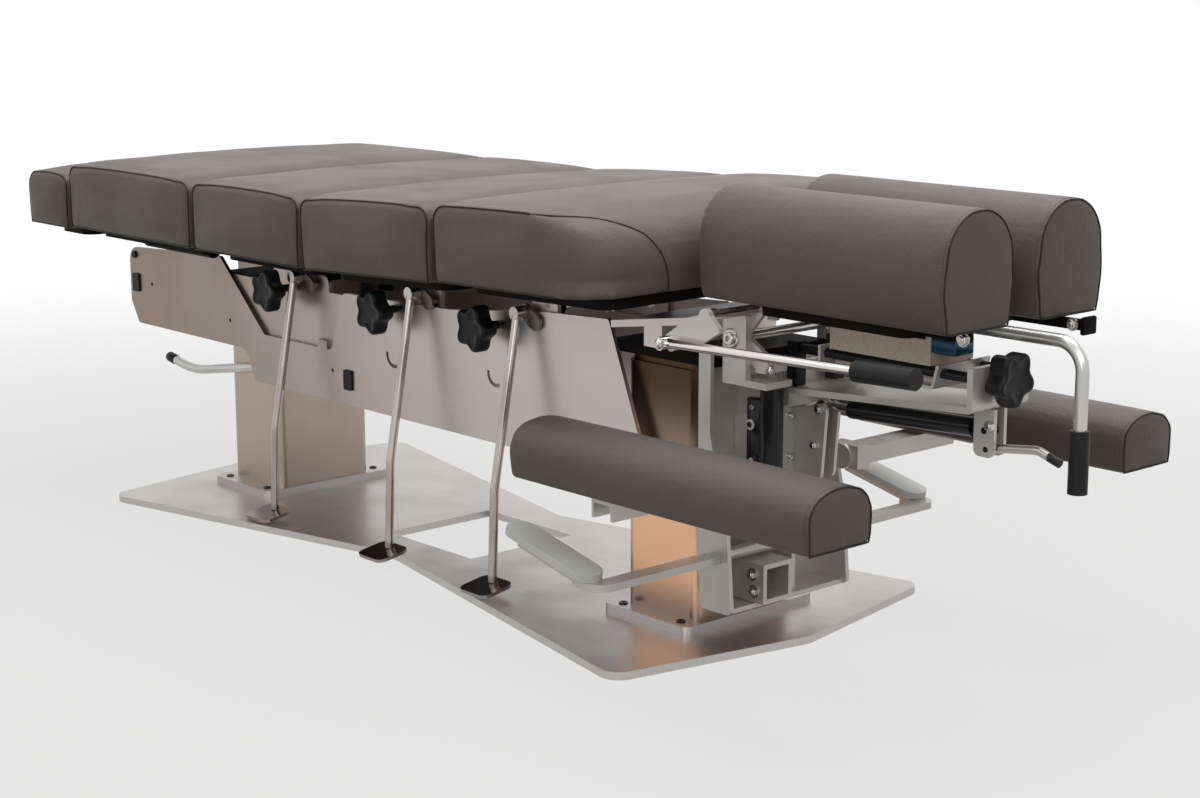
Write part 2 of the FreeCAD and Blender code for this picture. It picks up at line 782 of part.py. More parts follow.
def build_lift_frame():
    """Build the moving column tubes and what ties both sides of the frame together."""
    tubes, rods, members = [], [], []
    for x, head_z, half_y in ((column_foot_x, foot_head_plate_z, inner_plate_y),
                              (column_head_x, head_head_plate_z, plate_inner_y)):
        inset = column_wall + sliding_gap
        bottom = flange_top_z + inner_tube_start
        tube = column_profile(x, inset, bottom, head_z)
        hollow = column_profile(x, inset + inner_tube_wall, bottom - overrun, head_z + overrun)
        tubes.append(tube.cut(hollow))
        rod_bottom = flange_top_z + actuator_length - lift_travel / 2 - actuator_rod_depth
        rods.append(rod(V(x, 0, rod_bottom), V(x, 0, head_z), actuator_rod_radius))
        head = block(x - head_plate_reach + ear_half_width, x + head_plate_reach, -half_y, half_y,
                     head_z, head_z + head_plate_thickness)
        if x == column_foot_x:
            head = block(inner_foot_x + ear_corner, x + column_length / 2 + ear_corner,
                         -half_y, half_y, head_z, head_z + head_plate_thickness)
        members.append(head)
    for share in tie_bar_x_shares:
        x = side_plate_foot_x + share * side_plate_length
        z = side_plate_bottom_z + tie_bar_z_share * side_plate_height
        reach = plate_inner_y if x < inner_foot_x or x > inner_head_x else inner_plate_y
        members.append(rod(V(x, -reach, z), V(x, reach, z), tie_bar_radius))
    post_top = cushion_bottom_z - board_thickness
    for x in leg_post_xs():
        start = plate_inner_y if x < inner_foot_x else inner_plate_y
        for side in (-1, 1):
            y0 = side * start
            y1 = side * (start - leg_bracket_thickness)
            bottom = inner_top_z - 2 * leg_bracket_half_width
            members.append(block(x - leg_bracket_half_width, x + leg_bracket_half_width,
                                 min(y0, y1), max(y0, y1), bottom, post_top))
    save("column_inner_tubes", *tubes, *rods)
    save("frame_cross_members", *members)
    start_z = top_plate_start_z
    end_z = start_z + top_plate_rise
    corners = [
        (top_plate_start_x, start_z, 0), (top_plate_end_x, end_z, 0),
        (top_plate_end_x, end_z + top_plate_thickness, 0),
        (top_plate_start_x, start_z + top_plate_thickness, 0),
    ]
    top_plate = plate(corners, "XZ", -plate_outer_y, 2 * plate_outer_y)
    post_z = head_head_plate_z + head_plate_thickness
    posts = block(column_head_x - post_half_size, column_head_x + post_half_size,
                  -plate_inner_y, plate_inner_y, post_z, end_z + top_plate_thickness)
    under = [(top_plate_start_x - overrun, post_z - overrun, 0),
             (top_plate_end_x, post_z - overrun, 0), (top_plate_end_x, end_z, 0),
             (top_plate_start_x, start_z, 0), (top_plate_start_x - overrun, start_z, 0)]
    posts = posts.common(plate(under, "XZ", -plate_outer_y, 2 * plate_outer_y))
    save("top_cross_plate", top_plate.fuse(posts).removeSplitter())


def leg_post_xs():
    """Return where the leg board's two pairs of brackets stand."""
    return [end_leg_x + leg_length * leg_post_shares[0], end_leg_x + leg_length * leg_post_shares[1]]


def section_ears(hinge_x, top_z):
    """Return the pair of ears under a drop board, bored for the hinge rod."""
    ears = []
    for side in (-1, 1):
        outer = side * inner_plate_y
        level = outer if side < 0 else outer - section_ear_thickness
        ear = plate([
            (hinge_x - section_ear_half_width, hinge_z - section_ear_half_width,
             section_ear_half_width * section_ear_corner_share),
            (hinge_x + section_ear_half_width, hinge_z - section_ear_half_width,
             section_ear_half_width * section_ear_corner_share),
            (hinge_x + section_ear_half_width * 2, top_z, 0),
            (hinge_x - section_ear_half_width, top_z, 0),
        ], "XZ", level, section_ear_thickness)
        bore = rod(V(hinge_x, level - overrun, hinge_z),
                   V(hinge_x, level + section_ear_thickness + overrun, hinge_z),
                   hinge_rod_radius + turning_gap)
        ears.append(ear.cut(bore))
    return ears


def build_sections():
    """Build the cushions and boards; the lumbar and chest sections stand cocked."""
    half = seam_gap / 2
    leg_head = leg_pelvic_x - half
    leg_foot = end_leg_x + end_seam_gap / 2
    save("leg_cushion", cushion(leg_foot, leg_head, cushion_bottom_z, cushion_thickness,
                                cushion_corner, cushion_corner))
    leg_board = board(leg_foot, leg_head, cushion_bottom_z)
    sleeves = []
    sleeve_z = cushion_bottom_z - board_thickness - end_rod_drop
    sleeve_foot = leg_foot + board_inset
    for side in (-1, 1):
        y = side * end_rod_y
        body = rod(V(sleeve_foot, y, sleeve_z), V(sleeve_foot + end_rod_length, y, sleeve_z),
                   end_rod_radius + end_sleeve_wall)
        saddle = block(sleeve_foot, sleeve_foot + end_rod_length, y - end_rod_radius,
                       y + end_rod_radius, sleeve_z, sleeve_z + end_rod_drop)
        bore = rod(V(sleeve_foot - overrun, y, sleeve_z),
                   V(sleeve_foot + end_rod_length + overrun, y, sleeve_z),
                   end_rod_radius + turning_gap)
        sleeves.append(body.fuse(saddle).cut(bore))
    save("leg_board", leg_board.fuse(sleeves).removeSplitter())
    build_end_section(leg_foot, sleeve_z)
    sections = (
        ("pelvic", leg_pelvic_x, pelvic_length, 0.0, 0.0, cushion_corner),
        ("lumbar", pelvic_lumbar_x, lumbar_length, 0.0, lumbar_cocked_deg, cushion_corner),
        ("chest", lumbar_chest_x, chest_length, chest_raise, chest_cocked_deg, chest_round),
    )
    for (name, seam_x, length, raise_z, cocked_deg, round_head), hinge_x in zip(sections, hinge_xs):
        foot = seam_x + half
        head = seam_x + length - half
        bottom = cushion_bottom_z + raise_z
        pad = cushion(foot, head, bottom, cushion_thickness, cushion_corner, round_head)
        if name == "chest":
            pad = pad.common(chest_plan(foot, head, bottom))
        support = board(foot, head, bottom)
        ears = section_ears(hinge_x, bottom - board_thickness)
        save(name + "_cushion", turned(pad, hinge_x, hinge_z, cocked_deg))
        save(name + "_board", turned(support.fuse(ears).removeSplitter(), hinge_x, hinge_z, cocked_deg))


def chest_plan(foot, head, bottom):
    """Return the tall prism that rounds the chest cushion's head corners in plan."""
    corners = [
        (foot - overrun, -table_half_width - overrun, 0), (head, -table_half_width, chest_plan_round),
        (head, table_half_width, chest_plan_round), (foot - overrun, table_half_width + overrun, 0),
    ]
    return plate(corners, "XY", bottom - overrun, 2 * cushion_thickness)


def build_end_section(leg_foot, sleeve_z):
    """Build the end cushion on the board and rods that slide into the leg board."""
    head = end_leg_x - end_seam_gap / 2
    bottom = cushion_bottom_z - end_cushion_drop
    save("end_cushion", cushion(table_foot_x, head, bottom, end_cushion_thickness,
                                end_cushion_round, cushion_corner))
    carrier = board(table_foot_x, head, bottom)
    rods = []
    for side in (-1, 1):
        y = side * end_rod_y
        start = table_foot_x + end_cushion_round
        end = leg_foot + board_inset + end_rod_length - end_rod_radius
        rail = rod(V(start, y, sleeve_z), V(end, y, sleeve_z), end_rod_radius)
        saddle = block(start, head - board_inset, y - end_rod_radius, y + end_rod_radius,
                       sleeve_z, bottom - board_thickness)
        rods.append(rail.fuse(saddle))
    save("end_board", carrier.fuse(rods).removeSplitter())


def pedal(x, top_z, pivot_x, pivot_z):
    """Return one cocking pedal: pivot, lever plate, bent rod and tilted foot plate."""
    lever_y = -plate_outer_y - pedal_lever_gap - pedal_lever_thickness
    pivot = rod(V(pivot_x, lever_y, pivot_z), V(pivot_x, -inner_plate_y + pedal_boss_radius, pivot_z),
                pedal_pivot_radius)
    lever = slot_plate((x, top_z), (pivot_x, pivot_z), pedal_lever_radius, "XZ", lever_y,
                       pedal_lever_thickness)
    boss = rod(V(x, -pedal_top_y - pedal_rod_radius, top_z), V(x, lever_y, top_z), pedal_boss_radius)
    stem = bent_rod([V(x, -pedal_top_y, top_z), V(x, -pedal_bend_y, pedal_bend_z),
                     V(x, -pedal_foot_y, pedal_foot_z)], pedal_bend_radius, pedal_rod_radius)
    crank = slot_plate((pivot_x, pivot_z), (pivot_x, pivot_z - pedal_crank_length),
                       pedal_boss_radius, "XZ", -inner_plate_y + pedal_lever_gap,
                       pedal_lever_thickness)
    foot_y = -pedal_foot_y - foot_plate_out
    foot = plate(rectangle(x - foot_plate_length / 2, x + foot_plate_length / 2,
                           foot_y - foot_plate_width / 2, foot_y + foot_plate_width / 2,
                           foot_plate_corner), "XY", pedal_foot_z - foot_plate_thickness,
                 foot_plate_thickness)
    foot.rotate(V(x, -pedal_foot_y, pedal_foot_z), V(1, 0, 0), foot_plate_slope_deg)
    return lever.fuse([pivot, boss, stem, crank, foot]).removeSplitter()


def release_pin(gap):
    """Return the pin of the foot end lever, or the bore round it where a gap is given."""
    return rod(V(release_pivot_x, -plate_inner_y, release_pivot_z),
               V(release_pivot_x, -release_y + release_cap_radius, release_pivot_z),
               release_pin_radius + gap)


def build_controls():
    """Build the pedals, the tension knobs and the foot end release lever."""
    names = ("pelvic", "lumbar", "chest")
    for name, x, z, px, pz in zip(names, pedal_xs, pedal_zs, pivot_xs, pivot_zs):
        save(name + "_pedal", pedal(x, z, px, pz))
    for name, x, z in zip(names, knob_xs, knob_zs):
        save(name + "_tension_knob", *star_knob(V(x, -knob_centre_y, z), V(0, -1, 0),
                                               V(x, -knob_shaft_inner_y, z)))
    tube = bent_rod([V(release_pivot_x, -release_y, release_pivot_z),
                     V(release_bend_x, -release_y, release_bend_z),
                     V(release_tip_x, -release_y, release_tip_z)],
                    release_bend_radius, release_radius)
    eye = rod(V(release_pivot_x, -release_y - release_radius, release_pivot_z),
              V(release_pivot_x, -release_y + release_radius, release_pivot_z), 2 * release_radius)
    save("foot_release_lever", tube.fuse(eye).cut(release_pin(turning_gap)).removeSplitter())
    tip = V(release_tip_x, -release_y, release_tip_z)
    along = (tip - V(release_bend_x, -release_y, release_bend_z)).normalize()
    save("foot_release_cap", rod(tip, tip + along * release_cap_length, release_cap_radius))


def build_head_frame():
    """Build the frame that hangs on the lifting frame at the head end."""
    shape_corners = from_shares(head_frame_outline_shares, head_frame_back_x, head_frame_bottom_z,
                                head_frame_depth, head_frame_height)
    side = plate(shape_corners, "XZ", -plate_outer_y, head_frame_wall)
    back_x = head_frame_back_x + head_frame_wall
    bore = rod(V(rocker_x, -plate_outer_y - overrun, rocker_z),
               V(rocker_x, -plate_inner_y + overrun, rocker_z), rocker_radius + turning_gap)
    arm_bore = rod(V(arm_pivot_x, -plate_outer_y - overrun, arm_pivot_z),
                   V(arm_pivot_x, -plate_inner_y + overrun, arm_pivot_z),
                   arm_pivot_radius + turning_gap)
    boss = rod(V(arm_pivot_x, -plate_outer_y, arm_pivot_z),
               V(arm_pivot_x, -plate_inner_y, arm_pivot_z), 2 * arm_pivot_radius)
    side = side.fuse(boss).cut(bore).cut(arm_bore).removeSplitter()
    back = block(head_frame_back_x, back_x, -plate_inner_y, plate_inner_y,
                 head_frame_bottom_z, head_head_plate_z)
    floor_front = head_frame_back_x + head_frame_depth * head_frame_floor_share
    floor = block(back_x, floor_front, -plate_inner_y, plate_inner_y,
                  head_frame_bottom_z, head_frame_bottom_z + head_frame_wall)
    divider = plate([
        (back_x, head_frame_bottom_z + head_frame_wall, 0),
        (divider_front_x, head_frame_bottom_z + head_frame_wall, 0),
        (divider_front_x, divider_top_z, head_frame_wall * 2), (back_x, divider_top_z, 0),
    ], "XZ", divider_y, head_frame_wall)
    divider = divider.cut(rod(V(rocker_x, divider_y - overrun, rocker_z),
                              V(rocker_x, divider_y + head_frame_wall + overrun, rocker_z),
                              rocker_radius + turning_gap))
    rails = []
    for sign in (-1, 1):
        y = sign * rail_y
        rails.append(block(back_x, back_x + rail_depth, y - rail_width / 2, y + rail_width / 2,
                           rail_bottom_z, rail_top_z))
    outer = block(back_x, back_x + receiver_length, receiver_y - receiver_size / 2,
                  receiver_y + receiver_size / 2, receiver_z - receiver_size / 2,
                  receiver_z + receiver_size / 2)
    socket = block(back_x + receiver_angle_thickness, back_x + receiver_length + overrun,
                   receiver_y - receiver_hole / 2, receiver_y + receiver_hole / 2,
                   receiver_z - receiver_hole / 2, receiver_z + receiver_hole / 2)
    angle_y = receiver_y - receiver_size / 2
    leaf = block(back_x, back_x + receiver_angle_thickness, angle_y - receiver_angle_length / 2,
                 angle_y, head_frame_bottom_z + head_frame_wall, receiver_z + receiver_size / 2)
    save("accessory_receiver", outer.cut(socket).fuse(leaf).removeSplitter())
    strut_base = block(back_x, strut_x + strut_radius, strut_y - strut_radius,
                       strut_y + strut_radius, strut_bottom_z - strut_bracket_thickness,
                       strut_bottom_z)
    body = rod(V(strut_x, strut_y, strut_bottom_z), V(strut_x, strut_y, strut_top_z), strut_radius)
    bore = rod(V(strut_x, strut_y, strut_top_z - strut_rod_depth - overrun),
               V(strut_x, strut_y, strut_top_z + overrun), strut_rod_radius + turning_gap)
    save("head_frame_plates", side, mirrored(side), back, floor, divider, strut_base, *rails)
    save("riser_strut_body", body.cut(bore))


def paddle_parts():
    """Return the near lift paddle's bar and pad, level before they are tilted."""
    bar_z = rocker_z - paddle_bar_thickness / 2
    x0 = rocker_x - paddle_bar_width / 2
    x1 = rocker_x + paddle_bar_width / 2
    outer_y = -paddle_y - paddle_bar_width / 2
    cross = [
        (x0, -paddle_start_y, 0), (x1, -paddle_start_y, 0),
        (x1, outer_y, paddle_bar_corner), (x0 - paddle_bar_width, outer_y, 0),
        (x0 - paddle_bar_width, outer_y + paddle_bar_width, 0),
        (x0, outer_y + paddle_bar_width, paddle_bar_corner * paddle_inner_corner_share),
    ]
    bar = plate(cross, "XY", bar_z, paddle_bar_thickness)
    tongue = block(x0 - paddle_length * paddle_tongue_share, x0 - paddle_bar_width / 2,
                   outer_y, outer_y + paddle_bar_width, bar_z, bar_z + paddle_bar_thickness)
    pad_z = bar_z + paddle_bar_thickness
    pad = plate(rectangle(paddle_head_x - paddle_length, paddle_head_x,
                          -paddle_y - paddle_width / 2, -paddle_y + paddle_width / 2,
                          paddle_corner), "XY", pad_z, paddle_pad_thickness)
    hinge = V(paddle_head_x, 0, pad_z)
    for piece in (tongue, pad):
        piece.rotate(hinge, V(0, 1, 0), paddle_slope_deg)
    return bar.fuse(tongue).removeSplitter(), pad


def build_paddles():
    """Build the rocker shaft with its two bars and pads."""
    bar, pad = paddle_parts()
    shaft = rod(V(rocker_x, -paddle_start_y - paddle_bar_thickness, rocker_z),
                V(rocker_x, paddle_start_y + paddle_bar_thickness, rocker_z), rocker_radius)
    save("paddle_bars", shaft.fuse([bar, mirrored(bar)]).removeSplitter())
    save("paddle_pads", pad, mirrored(pad))


def armrest_section(x, y0, y1, z0, height, corner):
    """Return one crosswise section of an armrest pad."""
    z1 = z0 + height
    diagonal = 1 - eighth_turn_share
    near = V(x, y0, z0)
    far = V(x, y1, z0)
    far_side = V(x, y1, z1 - corner)
    far_top = V(x, y1 - corner, z1)
    near_top = V(x, y0 + corner, z1)
    near_side = V(x, y0, z1 - corner)
    far_mid = V(x, y1 - corner * diagonal, z1 - corner * diagonal)
    near_mid = V(x, y0 + corner * diagonal, z1 - corner * diagonal)
    crest = V(x, (y0 + y1) / 2, z1 + armrest_crown)
    return Part.Wire([
        Part.LineSegment(near, far).toShape(),
        Part.LineSegment(far, far_side).toShape(),
        Part.Arc(far_side, far_mid, far_top).toShape(),
        Part.Arc(far_top, crest, near_top).toShape(),
        Part.Arc(near_top, near_mid, near_side).toShape(),
        Part.LineSegment(near_side, near).toShape(),
    ])


def armrest_pad():
    """Loft the near armrest pad; its foot end is drawn in and its middle is fullest."""
    y0 = -armrest_inner_y - armrest_width
    y1 = -armrest_inner_y
    sections = []
    for share, pinch in armrest_section_shares:
        inset = armrest_width * pinch
        x = armrest_foot_x + armrest_length * share
        sections.append(armrest_section(x, y0 + inset, y1 - inset, armrest_bottom_z,
                                        armrest_height - armrest_crown - inset, armrest_corner))
    return Part.makeLoft(sections, True, True)


def build_armrests():
    """Build both armrests with their pivoting support bars."""
    pad = armrest_pad()
    plate_top = armrest_bottom_z - soft_gap
    plate_y0 = -armrest_inner_y - (armrest_width + arm_plate_width) / 2
    carrier = block(arm_pivot_x - arm_plate_length / 2, arm_pivot_x + arm_plate_length / 2,
                    plate_y0, plate_y0 + arm_plate_width, plate_top - arm_plate_thickness, plate_top)
    bar_top = plate_top - arm_plate_thickness
    bar_end = -plate_outer_y - arm_block_width - sliding_gap
    bar = block(arm_pivot_x - arm_bar_depth / 2, arm_pivot_x + arm_bar_depth / 2,
                plate_y0, bar_end, bar_top - arm_bar_height, bar_top)
    inside = block(arm_pivot_x - arm_bar_depth / 2 + arm_bar_wall,
                   arm_pivot_x + arm_bar_depth / 2 - arm_bar_wall, plate_y0 - overrun,
                   bar_end - arm_bar_wall, bar_top - arm_bar_height - overrun,
                   bar_top - arm_bar_wall)
    stub = rod(V(arm_pivot_x, bar_end, arm_pivot_z), V(arm_pivot_x, -plate_inner_y, arm_pivot_z),
               arm_pivot_radius)
    hub = block(arm_pivot_x - arm_block_length / 2, arm_pivot_x + arm_block_length / 2,
                -plate_outer_y - arm_block_width, -plate_outer_y,
                arm_pivot_z - arm_block_height / 2, arm_pivot_z + arm_block_height / 2)
    hole = rod(V(arm_pivot_x, -plate_outer_y - arm_block_width - overrun, arm_pivot_z),
               V(arm_pivot_x, -plate_outer_y + overrun, arm_pivot_z),
               arm_pivot_radius + turning_gap)
    arm = bar.cut(inside).fuse([carrier, stub]).removeSplitter()
    collar = hub.cut(hole)
    save("armrest_pivot_blocks", collar, mirrored(collar))
    for name, wanted in (("near", lambda s: s), ("far", mirrored)):
        save(name + "_armrest_pad", wanted(pad))
        save(name + "_armrest_arm", wanted(arm))


def build_riser():
    """Build the riser that slides on the head frame and carries the tilt hinge."""
    carriages = []
    back_x = head_frame_back_x + head_frame_wall
    for sign in (-1, 1):
        y = sign * rail_y
        body = block(back_x + sliding_gap, riser_plate_x, y - carriage_half_width,
                     y + carriage_half_width, carriage_bottom_z, carriage_top_z)
        slot = block(back_x - overrun, back_x + rail_depth + sliding_gap,
                     y - rail_width / 2 - sliding_gap, y + rail_width / 2 + sliding_gap,
                     carriage_bottom_z - overrun, carriage_top_z + overrun)
        carriages.append(body.cut(slot))
    front = block(riser_plate_x, riser_plate_x + riser_plate_thickness, -riser_half_width,
                  riser_half_width, riser_bottom_z, riser_low_top_z)
    anchor_plates = []
    for sign in (-1, 1):
        y0 = sign * anchor_plate_gap / 2
        y1 = y0 + sign * anchor_plate_thickness
        level = min(y0, y1)
        cheek = plate([
            (riser_plate_x + riser_plate_thickness, riser_bottom_z, 0),
            (anchor_x + anchor_plate_top, riser_bottom_z, anchor_plate_top),
            (anchor_x + 2 * anchor_plate_top, anchor_z + anchor_plate_top, anchor_plate_top),
            (riser_plate_x + riser_plate_thickness, anchor_z - anchor_plate_top, anchor_plate_top),
        ], "XZ", level, anchor_plate_thickness)
        anchor_plates.append(cheek)
    half_span = anchor_plate_gap / 2 + anchor_plate_thickness
    anchor_pin = rod(V(anchor_x, -half_span, anchor_z), V(anchor_x, half_span, anchor_z),
                     anchor_pin_radius)
    webs = []
    for sign in (-1, 1):
        y0 = sign * riser_web_y
        y1 = y0 + sign * riser_web_thickness
        level = min(y0, y1)
        ear = plate([(ear_foot_x, riser_shelf_z, 0), (ear_head_x, riser_shelf_z, 0),
                     (ear_head_x, ear_top_z, ear_corner), (ear_foot_x, ear_top_z, ear_corner)],
                    "XZ", level, riser_web_thickness)
        webs.append(ear.cut(rod(V(tilt_x, level - overrun, tilt_z),
                                V(tilt_x, level + riser_web_thickness + overrun, tilt_z),
                                tilt_rod_radius)))
    shelves = []
    for sign in (-1, 1):
        y0 = sign * riser_shelf_inner_y
        y1 = sign * (riser_web_y + riser_web_thickness)
        shelves.append(block(ear_foot_x, riser_shelf_end_x, min(y0, y1), max(y0, y1),
                             riser_shelf_z - riser_shelf_thickness, riser_shelf_z))
        y0 = sign * riser_half_width
        y1 = sign * (riser_shelf_inner_y + riser_plate_thickness / 2)
        shelves.append(block(riser_plate_x - riser_plate_thickness,
                             riser_plate_x + riser_plate_thickness / 2, min(y0, y1), max(y0, y1),
                             riser_bottom_z, riser_shelf_z))
    frame = front.fuse(carriages + anchor_plates + webs + shelves).cut(anchor_pin).removeSplitter()
    save("riser_frame", frame)
    tilt_rod = rod(V(tilt_x, -riser_web_y - riser_web_thickness, tilt_z),
                   V(tilt_x, riser_web_y + riser_web_thickness, tilt_z), tilt_rod_radius)
    strut_rod = rod(V(strut_x, strut_y, strut_top_z - strut_rod_depth),
                    V(strut_x, strut_y, riser_shelf_z - riser_shelf_thickness),
                    strut_rod_radius)
    save("riser_rods", anchor_pin, tilt_rod, strut_rod)


def tray_floor_z(x):
    """Return the height of the tray's underside at a place along it."""
    slope = (tray_front_bottom_z - tray_back_bottom_z) / (tray_front_x - tray_back_x)
    return tray_back_bottom_z + slope * (x - tray_back_x)


def build_tray():
    """Build the bent tray, its hangers on the tilt rod, its lugs and its slide shafts."""
    front_out = tray_front_x + tray_wall
    corners = [
        (tray_back_x, tray_back_top_z, 0), (tray_back_x, tray_back_bottom_z, tray_bend_radius),
        (front_out, tray_floor_z(front_out), tray_bend_radius), (front_out, tray_front_top_z, 0),
        (tray_front_x, tray_front_top_z, 0),
        (tray_front_x, tray_floor_z(tray_front_x) + tray_wall, 0),
        (tray_back_x + tray_wall, tray_floor_z(tray_back_x) + tray_wall, 0),
        (tray_back_x + tray_wall, tray_back_top_z, 0),
    ]
    bent = plate(corners, "XZ", -tray_half_width, 2 * tray_half_width)
    knob_bore = rod(V(tray_front_x - overrun, head_knob_y, head_knob_z),
                    V(front_out + overrun, head_knob_y, head_knob_z),
                    knob_shaft_radius + turning_gap)
    bent = bent.cut(knob_bore)
    hangers = []
    for sign in (-1, 1):
        y0 = sign * tray_half_width
        y1 = sign * (riser_web_y - sliding_gap)
        foot = block(tray_back_x, tray_back_x + 2 * tray_wall, min(y0, y1), max(y0, y1),
                     tray_back_top_z - hanger_seat, tray_back_top_z + tray_wall)
        level = y1 if sign < 0 else y1 - hanger_thickness
        arm = slot_plate((tilt_x, tilt_z), (tray_back_x + tray_wall, tray_back_top_z + tray_wall),
                         hanger_height * hanger_end_share, "XZ", level, hanger_thickness)
        arm = arm.fuse(slot_plate((tilt_x, tilt_z), (cross_shaft_x, cross_shaft_z),
                                  hanger_lug_radius, "XZ", level, hanger_thickness))
        for x, z, radius in ((tilt_x, tilt_z, tilt_rod_radius),
                             (cross_shaft_x, cross_shaft_z, cross_shaft_radius)):
            arm = arm.cut(rod(V(x, level - overrun, z), V(x, level + hanger_thickness + overrun, z),
                              radius + turning_gap))
        hangers += [foot, arm]
    tray = bent.fuse(hangers).removeSplitter()
    lugs = []
    for sign in (-1, 1):
        y0 = sign * (spring_eye_width / 2 + sliding_gap)
        y1 = y0 + sign * lug_thickness
        top = tray_floor_z(spring_end_x - lug_half_length)
        lug = plate([
            (spring_end_x - lug_half_length, lug_bottom_z, lug_half_length * lug_corner_share),
            (spring_end_x + lug_half_length, lug_bottom_z, lug_half_length * lug_corner_share),
            (spring_end_x + lug_half_length, tray_floor_z(spring_end_x + lug_half_length), 0),
            (spring_end_x - lug_half_length, top, 0),
        ], "XZ", min(y0, y1), lug_thickness)
        lugs.append(lug)
    half_span = spring_eye_width / 2 + sliding_gap + lug_thickness
    pins = [
        rod(V(spring_end_x, -half_span, spring_end_z), V(spring_end_x, half_span, spring_end_z),
            anchor_pin_radius),
        rod(V(trigger_x, -half_span, trigger_z), V(trigger_x, half_span, trigger_z),
            trigger_pin_radius),
    ]
    save("head_tray", tray, *[lug.cut(pins[0]).cut(pins[1]) for lug in lugs])
    shafts = []
    for sign in (-1, 1):
        y = sign * rail_shaft_y
        shafts.append(rod(V(rail_start_x, y, rail_shaft_z), V(tray_front_x, y, rail_shaft_z),
                          rail_shaft_radius))
        post = block(rail_start_x, rail_start_x + rail_block_height, y - rail_block_height / 2,
                     y + rail_block_height / 2,
                     tray_floor_z(rail_start_x + rail_block_height) + tray_wall,
                     rail_shaft_z + rail_block_height / 2)
        shafts.append(post.cut(shafts[-1]))
    save("tray_shafts", *shafts, *pins)


def build_tilt_spring():
    """Build the locking gas spring between the riser and the end of the tray."""
    start = V(anchor_x, 0, anchor_z)
    end = V(spring_end_x, 0, spring_end_z)
    along = (end - start).normalize()
    across = V(0, spring_eye_width / 2, 0)
    body_start = end - along * (spring_body_length + spring_neck_length)
    body = rod(body_start, end - along * spring_neck_length, spring_radius)
    bore = rod(body_start - along * overrun, body_start + along * spring_bore_depth,
               spring_rod_radius + turning_gap)
    eye = rod(end - across, end + across, spring_eye_radius)
    neck = rod(end - along * spring_neck_length, end, spring_rod_radius)
    hole = rod(end - across * 2, end + across * 2, anchor_pin_radius + turning_gap)
    save("tilt_spring_body", body.cut(bore).fuse([eye, neck]).cut(hole).removeSplitter())
    far_eye = rod(start - across, start + across, spring_eye_radius)
    far_hole = rod(start - across * 2, start + across * 2, spring_eye_hole)
    shaft = rod(start + along * (spring_eye_hole + turning_gap),
                body_start + along * spring_bore_depth * spring_rod_share, spring_rod_radius)
    save("tilt_spring_rod", far_eye.fuse(shaft).cut(far_hole).removeSplitter())


def build_carriage():
    """Build the sliding carriage, its block and the two head cushions on their carriers."""
    x0 = carriage_back_x
    x1 = x0 + carriage_length
    top_z = rail_shaft_z + rail_shaft_radius + carriage_wall
    corners = [
        (x0, top_z, 0), (x0, carriage_floor_z, carriage_wall), (x1, carriage_floor_z, carriage_wall),
        (x1 + 2 * carriage_wall, top_z, 0), (x1 + carriage_wall, top_z, 0),
        (x1 - carriage_wall / 2, carriage_floor_z + carriage_wall, 0),
        (x0 + carriage_wall, carriage_floor_z + carriage_wall, 0), (x0 + carriage_wall, top_z, 0),
    ]
    pan = plate(corners, "XZ", -carriage_half, 2 * carriage_half)
    for sign in (-1, 1):
        pan = pan.cut(rod(V(x0 - overrun, sign * rail_shaft_y, rail_shaft_z),
                          V(x1 + overrun * through_cut_share, sign * rail_shaft_y, rail_shaft_z),
                          rail_shaft_radius + turning_gap))
    save("head_carriage", pan)
    block_x0 = x0 + (carriage_length - block_length) / 2
    core_half = rail_shaft_y - rail_shaft_radius - sliding_gap
    lower = block(block_x0, block_x0 + block_length, -core_half, core_half,
                  carriage_floor_z + carriage_wall, block_lift_z + rail_shaft_radius * block_lower_share)
    upper = block(block_x0, block_x0 + block_length, -block_width / 2, block_width / 2,
                  rail_shaft_z + rail_shaft_radius + sliding_gap,
                  head_cushion_bottom_z - carrier_thickness - bridge_thickness)
    save("head_block", lower.fuse(upper).removeSplitter())
    bridge_y = head_cushion_inner_y + head_cushion_width / 2
    bridge = block(block_x0, block_x0 + block_length, -bridge_y, bridge_y,
                   head_cushion_bottom_z - carrier_thickness - bridge_thickness,
                   head_cushion_bottom_z - carrier_thickness)
    save("head_bridge", bridge)
    pad = head_cushion()
    y0 = -head_cushion_inner_y - head_cushion_width + carrier_inset
    y1 = -head_cushion_inner_y - carrier_inset
    carrier = plate(rectangle(carrier_centre_x - carrier_half_length,
                              carrier_centre_x + carrier_half_length, y0, y1, carrier_inset),
                    "XY", head_cushion_bottom_z - carrier_thickness, carrier_thickness - soft_gap)
    for name, wanted in (("near", lambda s: s), ("far", mirrored)):
        save(name + "_head_cushion", wanted(pad))
        save(name + "_cushion_carrier", wanted(carrier))


def head_cushion():
    """Loft the near head cushion, arched on top and drawn in at both ends."""
    y0 = -head_cushion_inner_y - head_cushion_width
    y1 = -head_cushion_inner_y
    sections = []
    for share in head_cushion_section_shares:
        pinch = head_cushion_draw * abs(2 * share - 1) / 2
        x = head_cushion_foot_x + head_cushion_length * share
        z0 = head_cushion_bottom_z
        side_z = z0 + head_cushion_side_height
        crest = V(x, (y0 + y1) / 2, side_z + head_cushion_rise - pinch)
        near = V(x, y0 + pinch + head_cushion_draw / 2, z0)
        far = V(x, y1 - pinch - head_cushion_draw / 2, z0)
        near_side = V(x, y0 + pinch, side_z)
        far_side = V(x, y1 - pinch, side_z)
        sections.append(Part.Wire([
            Part.LineSegment(near, far).toShape(),
            Part.LineSegment(far, far_side).toShape(),
            Part.Arc(far_side, crest, near_side).toShape(),
            Part.LineSegment(near_side, near).toShape(),
        ]))
    return Part.makeLoft(sections, True, False)


